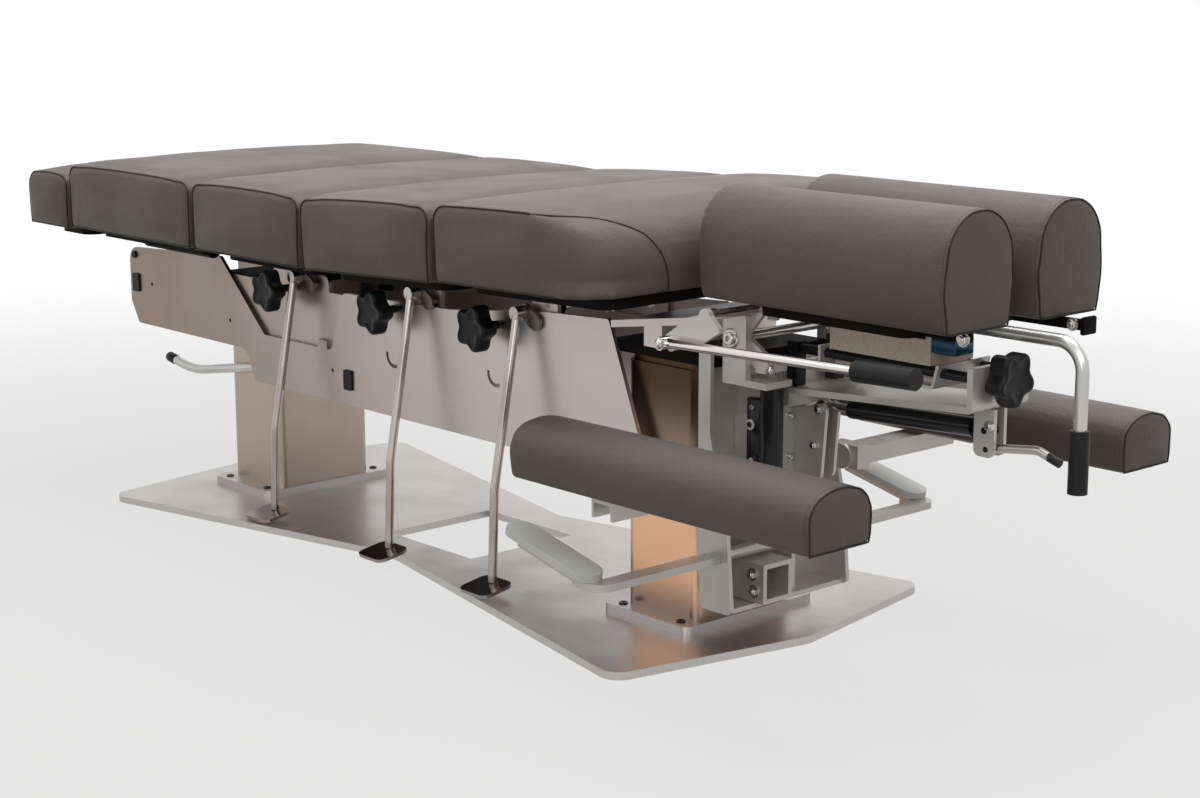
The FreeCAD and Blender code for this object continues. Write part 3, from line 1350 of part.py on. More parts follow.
def build_head_controls():
    """Build the drop lever, the head knob, the swing handle and the spring's trigger."""
    crank_y = -drop_crank_y - drop_crank_thickness
    crank = plate(from_shares(drop_crank_shares, drop_rod_start_x, drop_rod_start_z,
                              cross_shaft_x - drop_rod_start_x, cross_shaft_z - drop_rod_start_z),
                  "XZ", crank_y, drop_crank_thickness)
    hub = rod(V(drop_rod_start_x, crank_y, drop_rod_start_z),
              V(drop_rod_start_x, -drop_crank_y, drop_rod_start_z), drop_hub_radius)
    boss = rod(V(cross_shaft_x, crank_y, cross_shaft_z),
               V(cross_shaft_x, -drop_crank_y, cross_shaft_z), drop_boss_radius)
    start = V(drop_rod_start_x, -drop_lever_y, drop_rod_start_z)
    end = V(drop_rod_end_x, -drop_lever_y, drop_rod_end_z)
    stud = rod(start - V(0, drop_stud_reach, 0), V(drop_rod_start_x, crank_y, drop_rod_start_z),
               drop_stud_radius)
    shaft = rod(V(cross_shaft_x, crank_y, cross_shaft_z),
                V(cross_shaft_x, riser_web_y - sliding_gap, cross_shaft_z), cross_shaft_radius)
    save("drop_lever", crank.fuse([hub, boss, stud, shaft, rod(start, end, drop_rod_radius)])
         .removeSplitter())
    along = (end - start).normalize()
    save("drop_lever_grip", rod(end, end + along * drop_grip_length, drop_grip_radius))
    knob_x = tray_front_x + tray_wall + turning_gap + star_hub_length + star_thickness / 2
    save("head_knob", *star_knob(V(knob_x, head_knob_y, head_knob_z), V(1, 0, 0),
                                 V(tray_front_x - tray_wall, head_knob_y, head_knob_z)))
    handle_start_x = carriage_back_x + (carriage_length + block_length) / 2
    tube = bent_rod([V(handle_start_x, handle_y, handle_z), V(handle_bend_x, handle_y, handle_z),
                     V(handle_bend_x, handle_y, handle_bottom_z)], handle_bend_radius, handle_radius)
    save("swing_handle", tube)
    save("swing_handle_grip", rod(V(handle_bend_x, handle_y, handle_bottom_z),
                                  V(handle_bend_x, handle_y, handle_bottom_z - handle_grip_length),
                                  handle_grip_radius))
    trigger = bent_rod([V(trigger_x, 0, trigger_z), V(trigger_bend_x, 0, trigger_bend_z),
                        V(trigger_tip_x, 0, trigger_tip_z)], trigger_bend_radius, trigger_radius)
    hub_half = V(0, spring_eye_width / 2, 0)
    hub = rod(V(trigger_x, 0, trigger_z) - hub_half, V(trigger_x, 0, trigger_z) + hub_half,
              2 * trigger_pin_radius)
    hole = rod(V(trigger_x, 0, trigger_z) - hub_half * 2, V(trigger_x, 0, trigger_z) + hub_half * 2,
               trigger_pin_radius + turning_gap)
    save("spring_trigger", trigger.fuse(hub).cut(hole).removeSplitter())


def main():
    """Write every sub-part of the table."""
    os.makedirs("parts", exist_ok=True)
    build_base()
    build_side_plates()
    build_lift_frame()
    build_sections()
    build_controls()
    build_head_frame()
    build_paddles()
    build_armrests()
    build_riser()
    build_tray()
    build_tilt_spring()
    build_carriage()
    build_head_controls()


main()
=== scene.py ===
"""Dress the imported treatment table: upholstery, metals, plastics, small fittings and a plain studio."""

import json
import logging
import math
from dataclasses import dataclass
from enum import Enum
from functools import reduce
from typing import Optional

import bpy
import numpy as np
from mathutils import Matrix, Vector
from mathutils.bvhtree import BVHTree

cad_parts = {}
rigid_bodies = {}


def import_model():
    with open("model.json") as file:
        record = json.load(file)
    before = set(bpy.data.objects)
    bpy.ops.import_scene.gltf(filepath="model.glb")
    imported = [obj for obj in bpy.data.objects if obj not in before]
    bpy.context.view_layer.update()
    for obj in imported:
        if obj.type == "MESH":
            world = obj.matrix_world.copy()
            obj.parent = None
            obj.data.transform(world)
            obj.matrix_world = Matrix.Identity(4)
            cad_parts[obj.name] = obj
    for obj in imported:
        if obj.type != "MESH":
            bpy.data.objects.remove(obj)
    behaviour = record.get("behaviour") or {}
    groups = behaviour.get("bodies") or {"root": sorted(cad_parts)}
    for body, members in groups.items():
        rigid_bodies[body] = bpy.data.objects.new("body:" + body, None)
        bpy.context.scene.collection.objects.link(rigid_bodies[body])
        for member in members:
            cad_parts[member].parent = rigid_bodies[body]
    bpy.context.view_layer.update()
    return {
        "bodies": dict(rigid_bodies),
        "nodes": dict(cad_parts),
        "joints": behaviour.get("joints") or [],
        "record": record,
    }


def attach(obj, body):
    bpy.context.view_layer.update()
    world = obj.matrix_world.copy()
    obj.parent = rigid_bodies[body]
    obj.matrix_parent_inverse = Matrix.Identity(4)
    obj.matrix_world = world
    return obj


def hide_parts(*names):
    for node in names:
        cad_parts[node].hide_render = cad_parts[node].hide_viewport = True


LOG = logging.getLogger("treatment_table")
Item, Mesh, Material = bpy.types.Object, bpy.types.Mesh, bpy.types.Material
Tree, Node, Socket = bpy.types.NodeTree, bpy.types.Node, bpy.types.NodeSocket
Colour = tuple[float, float, float]
Point = tuple[float, float, float]


class Surface(Enum):
    """The families of finish on the table."""

    LEATHER = "leather"
    PIPING = "piping"
    BRUSHED = "brushed"
    POLISHED = "polished"
    PAINT = "paint"
    MOULDED = "moulded"
    SPECKLED = "speckled"
    ANODISED = "anodised"


class Axis(Enum):
    """The axis that a prism, a bolt or a brushing direction follows."""

    X = 0
    Y = 1
    Z = 2


# Meshes


def make_object(name: str, verts: np.ndarray, quads: np.ndarray, ends: Optional[list] = None) -> Item:
    """Put points and faces into a linked object at the origin, with its faces outwards.

    The volume of the fans from the origin to every face tells which way the shell faces, so a
    negative one turns every face round.

    Args:
        name: Name of the object.
        verts: Points, one row each, in metres.
        quads: Point numbers, one row for each face; all rows have the same length.
        ends: Further faces of any length.

    Returns:
        The new object.
    """
    fan = [(quads[:, 0], quads[:, k], quads[:, k + 1]) for k in range(1, quads.shape[1] - 1)]
    volume = sum(float(np.einsum("ij,ij->", verts[i], np.cross(verts[j], verts[k]))) for i, j, k in fan)
    faces = quads.tolist() + [list(face) for face in ends or []]
    if volume < 0:
        faces = [face[::-1] for face in faces]
    mesh = bpy.data.meshes.new(name)
    mesh.from_pydata(verts.tolist(), [], faces)
    mesh.update()
    item = bpy.data.objects.new(name, mesh)
    bpy.context.scene.collection.objects.link(item)
    return item


def shade_smooth(item: Item, angle_deg: float = 40.0) -> Item:
    """Smooth an object's faces and keep its edges sharper than an angle.

    Args:
        item: Mesh object to shade.
        angle_deg: Edges that turn more than this stay sharp.

    Returns:
        The same object.
    """
    mesh = item.data
    mesh.polygons.foreach_set("use_smooth", np.ones(len(mesh.polygons), bool))
    mesh.set_sharp_from_angle(angle=math.radians(angle_deg))
    return item


def skin(name: str, rings: np.ndarray, loop: bool = False) -> Item:
    """Cover rings of points with four-sided faces and close both ends.

    Ring r and point c share a face with ring r + 1 and point c + 1.

    Args:
        name: Name of the object.
        rings: Array of rings, points and coordinates.
        loop: Whether the last ring meets the first, as on a closed hoop.

    Returns:
        The new object.
    """
    count, width, _ = rings.shape
    r = np.arange(count if loop else count - 1)[:, None]
    c = np.arange(width)[None, :]
    after, beside = (r + 1) % count, (c + 1) % width
    quads = np.stack([r * width + c, r * width + beside, after * width + beside, after * width + c], -1)
    ends = [] if loop else [range(width)[::-1], range((count - 1) * width, count * width)]
    return make_object(name, rings.reshape(-1, 3), quads.reshape(-1, 4), ends)


def smooth_path(points: np.ndarray, steps: int, closed: bool = False) -> np.ndarray:
    """Resample a run of points evenly along its length.

    Each coordinate is read at even shares of the length added up from point to point.

    Args:
        points: Points in order, one row each.
        steps: Number of points wanted.
        closed: Whether the run returns to its start.

    Returns:
        The new points.
    """
    run = np.vstack([points, points[:1]]) if closed else points
    length = np.r_[0.0, np.cumsum(np.linalg.norm(np.diff(run, axis=0), axis=1))]
    at = np.linspace(0.0, length[-1], steps + 1)[:-1] if closed else np.linspace(0.0, length[-1], steps)
    return np.stack([np.interp(at, length, run[:, k]) for k in range(run.shape[1])], -1)


def tube(name: str, path: np.ndarray, radius: float, side: Point, sides: int = 8,
         closed: bool = False) -> Item:
    """Carry a circle along a path.

    At each point the circle lies in the plane of the side direction and of the cross product of
    the side direction with the path's own direction.

    Args:
        name: Name of the object.
        path: Points of the middle line.
        radius: Radius of the circle.
        side: A direction that the path never follows.
        sides: Points on the circle.
        closed: Whether the path returns to its start.

    Returns:
        The new object.
    """
    ahead = np.roll(path, -1, axis=0) - np.roll(path, 1, axis=0)
    if not closed:
        ahead[0], ahead[-1] = path[1] - path[0], path[-1] - path[-2]
    ahead /= np.linalg.norm(ahead, axis=1, keepdims=True)
    first = np.cross(ahead, np.array(side))
    first /= np.linalg.norm(first, axis=1, keepdims=True)
    second = np.cross(ahead, first)
    angle = np.linspace(0.0, 2 * math.pi, sides, endpoint=False)
    rings = path[:, None, :] + radius * (np.cos(angle)[None, :, None] * first[:, None, :]
                                         + np.sin(angle)[None, :, None] * second[:, None, :])
    return shade_smooth(skin(name, rings, loop=closed), 80.0)


# Shader nodes


def fill(tree: Tree, node: Node, inputs: dict) -> None:
    """Link or set a node's inputs.

    Args:
        tree: Tree that holds the node.
        node: Node to fill.
        inputs: Sockets to link or values to set, by the input's name or number.
    """
    for key, value in inputs.items():
        if isinstance(value, Socket):
            tree.links.new(value, node.inputs[key])
        else:
            node.inputs[key].default_value = value


def add(tree: Tree, kind: str, inputs: dict, **options: object) -> Node:
    """Add a node, set its options and fill its inputs.

    Args:
        tree: Tree that gets the node.
        kind: Type of the node, without the words that all shader nodes start with.
        inputs: Sockets to link or values to set.
        options: The node's own settings.

    Returns:
        The new node.
    """
    node = tree.nodes.new(f"ShaderNode{kind}")
    for key, value in options.items():
        setattr(node, key, value)
    fill(tree, node, inputs)
    return node


def place_on(tree: Tree) -> Socket:
    """Return the Object coordinates."""
    return add(tree, "TexCoord", {}).outputs["Object"]


def combined(tree: Tree, kind: str, first: object, second: object) -> Socket:
    """Return the result of a Math node on two sockets or numbers."""
    return add(tree, "Math", {0: first, 1: second}, operation=kind).outputs[0]


def noise(tree: Tree, vector: Socket, **values: float) -> Socket:
    """Return the factor of a noise whose other inputs are given by name."""
    return add(tree, "TexNoise", {"Vector": vector, **values}).outputs["Fac"]


def stretched(tree: Tree, value: Socket, source: tuple[float, float],
              target: tuple[float, float] = (0.0, 1.0), kind: str = "LINEAR") -> Socket:
    """Carry a number from one range to another.

    Args:
        tree: Tree that gets the node.
        value: Number to carry over.
        source: Where the range starts and ends.
        target: What the result is there.
        kind: LINEAR or SMOOTHSTEP.

    Returns:
        The result socket.
    """
    ends = {"From Min": source[0], "From Max": source[1], "To Min": target[0], "To Max": target[1]}
    return add(tree, "MapRange", {"Value": value, **ends}, interpolation_type=kind).outputs["Result"]


def blended(tree: Tree, kind: str, mask: Socket, first: object,
            second: object) -> Socket:
    """Mix two sockets or constants.

    Args:
        tree: Tree that gets the node.
        kind: RGBA or FLOAT.
        mask: Socket of the factor.
        first: Socket, colour or number shown where the mask is zero.
        second: Socket, colour or number shown where the mask is one.

    Returns:
        The result socket.
    """
    node = add(tree, "Mix", {0: mask}, data_type=kind)
    open_inputs = [key for key, item in enumerate(node.inputs) if item.enabled]
    ends = [(*end, 1.0) if isinstance(end, tuple) else end for end in (first, second)]
    fill(tree, node, dict(zip(open_inputs[1:], ends)))
    return next(item for item in node.outputs if item.enabled)


class Shading:
    """The shared effects, each a node group that is built once."""

    CELL_EDGE, FINE_SHARE, WRINKLE_SHARE = 0.28, 0.4, 1.1
    DUST = (0.42, 0.68)

    def __init__(self) -> None:
        """Build every shared effect."""
        self.grain, self.brush, self.handling = self._grain(), self._brush(), self._handling()

    @staticmethod
    def _open(name: str, inputs: dict[str, float]) -> tuple:
        """Start a node group with a coordinate socket and plain number sockets.

        Args:
            name: Name of the group.
            inputs: Names and starting values of its number inputs.

        Returns:
            The group, and the coordinates times each of its numbers.
        """
        group = bpy.data.node_groups.new(name, "ShaderNodeTree")
        group.interface.new_socket("Vector", in_out="INPUT", socket_type="NodeSocketVector")
        for key, value in inputs.items():
            socket = group.interface.new_socket(key, in_out="INPUT", socket_type="NodeSocketFloat")
            socket.default_value = value
        start = group.nodes.new("NodeGroupInput").outputs
        sizes = [add(group, "VectorMath", {0: start["Vector"], "Scale": start[key]}, operation="SCALE")
                 for key in inputs]
        return group, [size.outputs[0] for size in sizes]

    @staticmethod
    def _close(group: Tree, outputs: dict[str, Socket]) -> Tree:
        """Give a node group its outputs.

        Args:
            group: Group to close.
            outputs: What each output is linked to, by name.

        Returns:
            The same group.
        """
        for key in outputs:
            group.interface.new_socket(key, in_out="OUTPUT", socket_type="NodeSocketFloat")
        fill(group, group.nodes.new("NodeGroupOutput"), outputs)
        return group

    def _grain(self) -> Tree:
        """Build pebbled leather: cell edges broken up by fine noise and long wrinkles.

        Returns:
            A group with the height and the creases.
        """
        group, (small, large) = self._open("leather_grain", {"Scale": 650.0, "Crease": 60.0})
        cells = add(group, "TexVoronoi", {"Vector": small, "Scale": 1.0}, feature="DISTANCE_TO_EDGE")
        edge = combined(group, "MINIMUM", cells.outputs["Distance"], self.CELL_EDGE)
        fine = combined(group, "MULTIPLY", noise(group, small, Scale=0.35, Detail=4.0),
                        self.FINE_SHARE)
        wrinkle = noise(group, small, Scale=0.12, Detail=3.0, Distortion=1.2)
        height = combined(group, "ADD", combined(group, "ADD", edge, fine),
                          combined(group, "MULTIPLY", wrinkle, self.WRINKLE_SHARE))
        return self._close(group, {"Height": height, "Crease": noise(group, large, Scale=1.0, Detail=3.0)})

    def _brush(self) -> Tree:
        """Return brushing marks: noise drawn out along one direction by the mapping before it."""
        group, (size,) = self._open("brushed_lines", {"Scale": 1.0})
        return self._close(group, {"Height": noise(group, size, Scale=1.0, Detail=6.0, Roughness=0.65)})

    def _handling(self) -> Tree:
        """Build handling marks and dust: broad noise with a soft threshold.

        Returns:
            A group with the mask.
        """
        group, (size,) = self._open("handling_marks", {"Scale": 9.0})
        marks = noise(group, size, Scale=1.0, Detail=5.0)
        return self._close(group, {"Mask": stretched(group, marks, self.DUST)})


@dataclass(frozen=True)
class Zone:
    """A part of a finish that looks different, bounded by smooth steps along the axes.

    Each step gives an axis, the place where the zone starts to show and the place where it shows
    in full; the zone is the product of its steps.
    """

    steps: tuple[tuple[Axis, float, float], ...]
    colour: Colour
    roughness: Optional[float] = None
    metallic: Optional[float] = None

    def mask(self, tree: Tree) -> Socket:
        """Work out where the zone shows.

        Args:
            tree: Tree that gets the nodes.

        Returns:
            The product of the zone's steps.
        """
        place = add(tree, "SeparateXYZ", {0: place_on(tree)}).outputs
        steps = [stretched(tree, place[axis.value], (start, full), kind="SMOOTHSTEP")
                 for axis, start, full in self.steps]
        return reduce(lambda product, step: combined(tree, "MULTIPLY", product, step), steps)


@dataclass(frozen=True)
class Finish:
    """One finish: its family, its two colours and how it shines."""

    name: str
    family: Surface
    colour: Colour
    shade: Colour
    roughness: float
    metallic: float = 0.0
    grain: float = 650.0
    bump: float = 0.2
    spread: float = 0.1
    coat: float = 0.0
    along: Axis = Axis.X
    specular: float = 0.5
    zones: tuple[Zone, ...] = ()

    BRUSH_STRETCH = 90.0
    CREASES = 22.0
    CHIP_EDGE = (0.12, 0.30)
    ZONE_SHADE = 0.9
    RELIEF = {Surface.LEATHER: 0.0006, Surface.PIPING: 0.0006, Surface.SPECKLED: 0.0002,
              Surface.BRUSHED: 0.00008}
    PLAIN_RELIEF = 0.0001

    def _coordinates(self, tree: Tree) -> Socket:
        """Place the effects, drawn out along the brushing direction where there is one.

        Args:
            tree: Tree that gets the nodes.

        Returns:
            Object coordinates, scaled for a brushed finish.
        """
        if self.family is not Surface.BRUSHED:
            return place_on(tree)
        scale = [self.grain] * 3
        scale[self.along.value] = self.grain / self.BRUSH_STRETCH
        return add(tree, "Mapping", {"Vector": place_on(tree), "Scale": scale}).outputs["Vector"]

    def build(self, shading: Shading) -> Material:
        """Make the material.

        Args:
            shading: The shared effects.

        Returns:
            The new material.
        """
        material = bpy.data.materials.new(self.name)
        material.use_nodes = True
        tree = material.node_tree
        shader = next(n for n in tree.nodes if n.type == "BSDF_PRINCIPLED")
        brushed, inputs = self.family is Surface.BRUSHED, {"Vector": self._coordinates(tree)}
        handling = add(tree, "Group", {"Vector": place_on(tree)}, node_tree=shading.handling).outputs["Mask"]
        if not brushed:
            inputs["Scale"] = self.grain
        if self.family in (Surface.LEATHER, Surface.PIPING, Surface.SPECKLED):
            effect = add(tree, "Group", {**inputs, "Crease": self.CREASES}, node_tree=shading.grain)
            tone = effect.outputs["Crease"]
        else:
            effect = add(tree, "Group", inputs, node_tree=shading.brush)
            tone = effect.outputs["Height"] if brushed else handling
        if self.family is Surface.SPECKLED:
            chips = add(tree, "TexVoronoi", inputs).outputs["Distance"]
            tone = stretched(tree, chips, self.CHIP_EDGE)
        colour = blended(tree, "RGBA", tone, self.shade, self.colour)
        half = self.spread / 2
        rough = stretched(tree, handling, (0.0, 1.0), (self.roughness - half, self.roughness + half))
        metal = self.metallic
        for zone in self.zones:
            mask, shade = zone.mask(tree), tuple(self.ZONE_SHADE * value for value in zone.colour)
            colour = blended(tree, "RGBA", mask, colour, blended(tree, "RGBA", tone, shade, zone.colour))
            if zone.roughness is not None:
                rough = blended(tree, "FLOAT", mask, rough, zone.roughness)
            if zone.metallic is not None:
                metal = blended(tree, "FLOAT", mask, metal, zone.metallic)
        bump = add(tree, "Bump", {"Strength": self.bump, "Height": effect.outputs["Height"],
                                  "Distance": self.RELIEF.get(self.family, self.PLAIN_RELIEF)})
        fill(tree, shader, {"Base Color": colour, "Roughness": rough, "Metallic": metal,
                            "Coat Weight": self.coat, "Specular IOR Level": self.specular,
                            "Normal": bump.outputs["Normal"]})
        return material


class Finishes:
    """Every finish of the table, made into materials once."""

    PALETTE = (
        Finish("grey_taupe_vinyl", Surface.LEATHER, (0.112, 0.094, 0.084), (0.096, 0.080, 0.071), 0.47,
               grain=620.0, bump=0.85, spread=0.12, specular=0.26),
        Finish("dark_piping_vinyl", Surface.PIPING, (0.012, 0.010, 0.009), (0.008, 0.007, 0.006), 0.5,
               grain=900.0, bump=0.3, specular=0.25),
        Finish("base_brushed_steel", Surface.BRUSHED, (0.60, 0.58, 0.565), (0.42, 0.40, 0.385), 0.38, 1.0,
               grain=260.0, bump=0.35, along=Axis.X),
        # Painted shade: the zone darkens the side plates, inner plates and top cross plate towards the foot
        # end.
        Finish("frame_steel_and_painted_shade", Surface.BRUSHED, (0.56, 0.51, 0.475), (0.51, 0.46, 0.425), 0.38, 1.0,
               grain=900.0, bump=0.12, along=Axis.X,
               zones=(Zone(((Axis.X, 0.30, -0.80),), (0.27, 0.215, 0.18)),)),
        # Painted light: the warm tint of both columns is a painted reflection of warm surroundings. On the
        # head column the copper lower down is painted reflection, the dark band at the top is painted shade
        # from the frame above, and the foot is painted a duller brown.
        Finish("column_steel_with_painted_light", Surface.BRUSHED, (0.44, 0.365, 0.315), (0.40, 0.33, 0.285), 0.34, 1.0,
               grain=900.0, bump=0.12, along=Axis.Z,
               zones=(Zone(((Axis.X, 0.1, 0.2), (Axis.Z, 0.30, 0.13)), (0.88, 0.52, 0.33)),
                      Zone(((Axis.X, 0.1, 0.2), (Axis.Z, 0.14, 0.33)), (0.075, 0.042, 0.026)),
                      Zone(((Axis.X, 0.1, 0.2), (Axis.Z, 0.085, 0.02)), (0.36, 0.26, 0.21)))),
        Finish("silver_grey_paint", Surface.PAINT, (0.60, 0.575, 0.55), (0.54, 0.515, 0.49), 0.38, 0.45,
               grain=240.0, bump=0.10, coat=0.15),
        # Partly painted shade: black paint, made darker and duller than the paint itself so that the boards
        # under the cushions read as the shade there.
        Finish("dark_satin_paint", Surface.PAINT, (0.006, 0.005, 0.0045), (0.009, 0.008, 0.007), 0.5,
               grain=260.0, bump=0.15, specular=0.03),
        Finish("bright_machined_steel", Surface.POLISHED, (0.56, 0.54, 0.52), (0.47, 0.45, 0.43), 0.24, 1.0,
               grain=420.0, bump=0.06),
        Finish("mirror_chrome", Surface.POLISHED, (0.50, 0.455, 0.425), (0.37, 0.33, 0.305), 0.15, 1.0,
               grain=300.0, bump=0.03, spread=0.05,
               zones=(Zone(((Axis.Z, 0.32, 0.33), (Axis.Y, -0.1150, -0.1135)),
                           (0.20, 0.175, 0.155), 0.36, 0.8),
                      Zone(((Axis.Z, 0.034, 0.030),), (0.30, 0.265, 0.245), 0.20),
                      Zone(((Axis.X, 0.555, 0.556),), (0.76, 0.72, 0.685), 0.15),
                      Zone(((Axis.X, 0.555, 0.556), (Axis.Y, -0.1790, -0.1775), (Axis.Y, -0.1685, -0.1695)),
                           (0.58, 0.56, 0.535), 0.36, 0.5))),
        Finish("satin_silver_tube", Surface.PAINT, (0.62, 0.615, 0.60), (0.55, 0.545, 0.53), 0.30, 0.7,
               grain=300.0, bump=0.08),
        Finish("black_moulded_plastic", Surface.MOULDED, (0.010, 0.010, 0.010), (0.016, 0.016, 0.016), 0.38,
               grain=900.0, bump=0.30, specular=0.13),
        Finish("trigger_tube", Surface.MOULDED, (0.010, 0.010, 0.010), (0.016, 0.016, 0.016), 0.40,
               grain=900.0, bump=0.10, specular=0.25,
               zones=(Zone(((Axis.X, 0.9815, 0.9805),), (0.46, 0.45, 0.44), 0.30, 0.8),)),
        Finish("black_grip_rubber", Surface.MOULDED, (0.012, 0.012, 0.012), (0.018, 0.018, 0.018), 0.48,
               grain=1100.0, bump=0.35, specular=0.16),
        Finish("black_gloss_steel", Surface.MOULDED, (0.008, 0.008, 0.009), (0.013, 0.013, 0.014), 0.24,
               grain=300.0, bump=0.05, coat=0.05, specular=0.2),
        Finish("pale_pedal_pad", Surface.MOULDED, (0.76, 0.765, 0.75), (0.69, 0.695, 0.68), 0.42, grain=700.0,
               bump=0.15),
        Finish("speckled_chipboard", Surface.SPECKLED, (0.86, 0.74, 0.62), (0.42, 0.33, 0.25), 0.62,
               grain=420.0, bump=0.25, specular=0.3),
        Finish("blue_anodised", Surface.ANODISED, (0.020, 0.060, 0.115), (0.014, 0.045, 0.090), 0.33, 0.7,
               grain=300.0, bump=0.1),
        Finish("white_washer", Surface.MOULDED, (0.62, 0.61, 0.58), (0.54, 0.53, 0.50), 0.40, grain=600.0,
               bump=0.05),
    )

    NODE_FINISHES = {
        "base_brushed_steel": ("base_plate", "column_flanges"),
        "frame_steel_and_painted_shade": ("near_side_plate", "far_side_plate", "inner_side_plates", "top_cross_plate"),
        "column_steel_with_painted_light": ("column_casings", "column_inner_tubes"),
        "silver_grey_paint": ("head_frame_plates", "accessory_receiver", "riser_frame", "head_tray",
                              "head_carriage", "near_armrest_arm", "far_armrest_arm", "paddle_bars",
                              "head_bridge", "armrest_pivot_blocks"),
        "dark_satin_paint": ("frame_cross_members", "leg_board", "end_board", "pelvic_board", "lumbar_board",
                             "chest_board", "near_cushion_carrier", "far_cushion_carrier", "lift_motors"),
        "bright_machined_steel": ("frame_hinge_pins", "riser_rods", "tilt_spring_rod"),
        "mirror_chrome": ("pelvic_pedal", "lumbar_pedal", "chest_pedal", "drop_lever"),
        "satin_silver_tube": ("swing_handle", "foot_release_lever"),
        "black_moulded_plastic": ("pelvic_tension_knob", "lumbar_tension_knob", "chest_tension_knob",
                                  "head_knob", "side_plate_plugs", "foot_release_cap"),
        "trigger_tube": ("spring_trigger",),
        "black_grip_rubber": ("drop_lever_grip", "swing_handle_grip"),
        "black_gloss_steel": ("tray_shafts", "riser_strut_body", "tilt_spring_body"),
        "pale_pedal_pad": ("paddle_pads",),
        "speckled_chipboard": ("head_block",),
    }

    def __init__(self) -> None:
        """Build every material of the palette."""
        shading = Shading()
        self.materials = {finish.name: finish.build(shading) for finish in self.PALETTE}

    def dress(self, item: Item, finish: str) -> None:
        """Give every material slot of an object one finish.

        Args:
            item: Object to dress.
            finish: Name of the finish.
        """
        material = self.materials[finish]
        if not item.material_slots:
            item.data.materials.append(material)
        for slot in item.material_slots:
            slot.material = material

    def mount(self, item: Item, look: tuple[str, str], body: str, node: str = "") -> Item:
        """Dress a new piece, put it on its body and hide the frame piece that it stands for.

        Args:
            item: Piece to mount.
            look: Its finish and its record slot; the slot is not used.
            body: Body that carries it.
            node: Frame piece that it stands for, if any.

        Returns:
            The same object.
        """
        finish, slot = look
        self.dress(item, finish)
        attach(item, body)
        if node:
            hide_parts(node)
        LOG.info("%s on %s", item.name, body)
        return item

    def dress_frame(self, nodes: dict[str, Item]) -> None:
        """Dress the solid pieces that come with the frame.

        Args:
            nodes: The frame's pieces by name.
        """
        for finish, names in self.NODE_FINISHES.items():
            for name in names:
                self.dress(nodes[name], finish)
            LOG.info("%s on %s", finish, ", ".join(names))


# Upholstery


def mesh_rows(mesh: Mesh, key: str = "co") -> np.ndarray:
    """Read a mesh's points or their normals.

    Args:
        mesh: Mesh to read.
        key: The word co for the points, normal for the normals.

    Returns:
        One row for each point.
    """
    out = np.zeros(len(mesh.vertices) * 3, np.float32)
    mesh.vertices.foreach_get(key, out)
    return out.reshape(-1, 3).astype(float)


def relaxed(mesh: Mesh, values: np.ndarray, passes: int) -> np.ndarray:
    """Even out values on a mesh: each pass goes halfway to the mean of the neighbours' values.

    Args:
        mesh: Mesh that carries the values.
        values: One row for each point.
        passes: Number of passes.

    Returns:
        The evened values.
    """
    pairs = np.zeros(len(mesh.edges) * 2, np.int32)
    mesh.edges.foreach_get("vertices", pairs)
    pairs = pairs.reshape(-1, 2)
    count = np.maximum(np.bincount(pairs.ravel(), minlength=len(values)), 1)[:, None]
    ends, others = pairs.ravel(), pairs[:, ::-1].ravel()
    for _ in range(passes):
        total = np.stack([np.bincount(ends, column[others], len(values)) for column in values.T], -1)
        values = (values + total / count) / 2
    return values


def nearest(points: np.ndarray, lines: list[np.ndarray], parts: int = 24, far: float = 1.0) -> np.ndarray:
    """Return each point's distance to the nearest point of some lines.

    Args:
        points: Rows of points.
        lines: Lines of points.
        parts: How many parts the points are worked out in, to save memory.
        far: Distance where there are no lines.

    Returns:
        The distances.
    """
    near = np.full(len(points), far)
    for line in lines:
        for part in np.array_split(np.arange(len(points)), parts):
            gap = np.linalg.norm(points[part, None, :] - line[None], axis=2).min(axis=1)
            near[part] = np.minimum(near[part], gap)
    return near


def set_points(mesh: Mesh, points: np.ndarray) -> None:
    """Put rows of points back into a mesh."""
    mesh.vertices.foreach_set("co", points.astype(np.float32).ravel())
    mesh.update()


def baked(item: Item) -> Mesh:
    """Return a plain mesh of an object with its modifiers worked out."""
    graph = bpy.context.evaluated_depsgraph_get()
    return bpy.data.meshes.new_from_object(item.evaluated_get(graph), depsgraph=graph)


def arc(centre: tuple[float, float], radius: float, start_deg: float, end_deg: float,
        steps: int = 9) -> np.ndarray:
    """Return points on an arc: the centre plus the radius times cosine and sine of the angle."""
    angle = np.radians(np.linspace(start_deg, end_deg, steps))
    return np.stack([centre[0] + radius * np.cos(angle), centre[1] + radius * np.sin(angle)], -1)


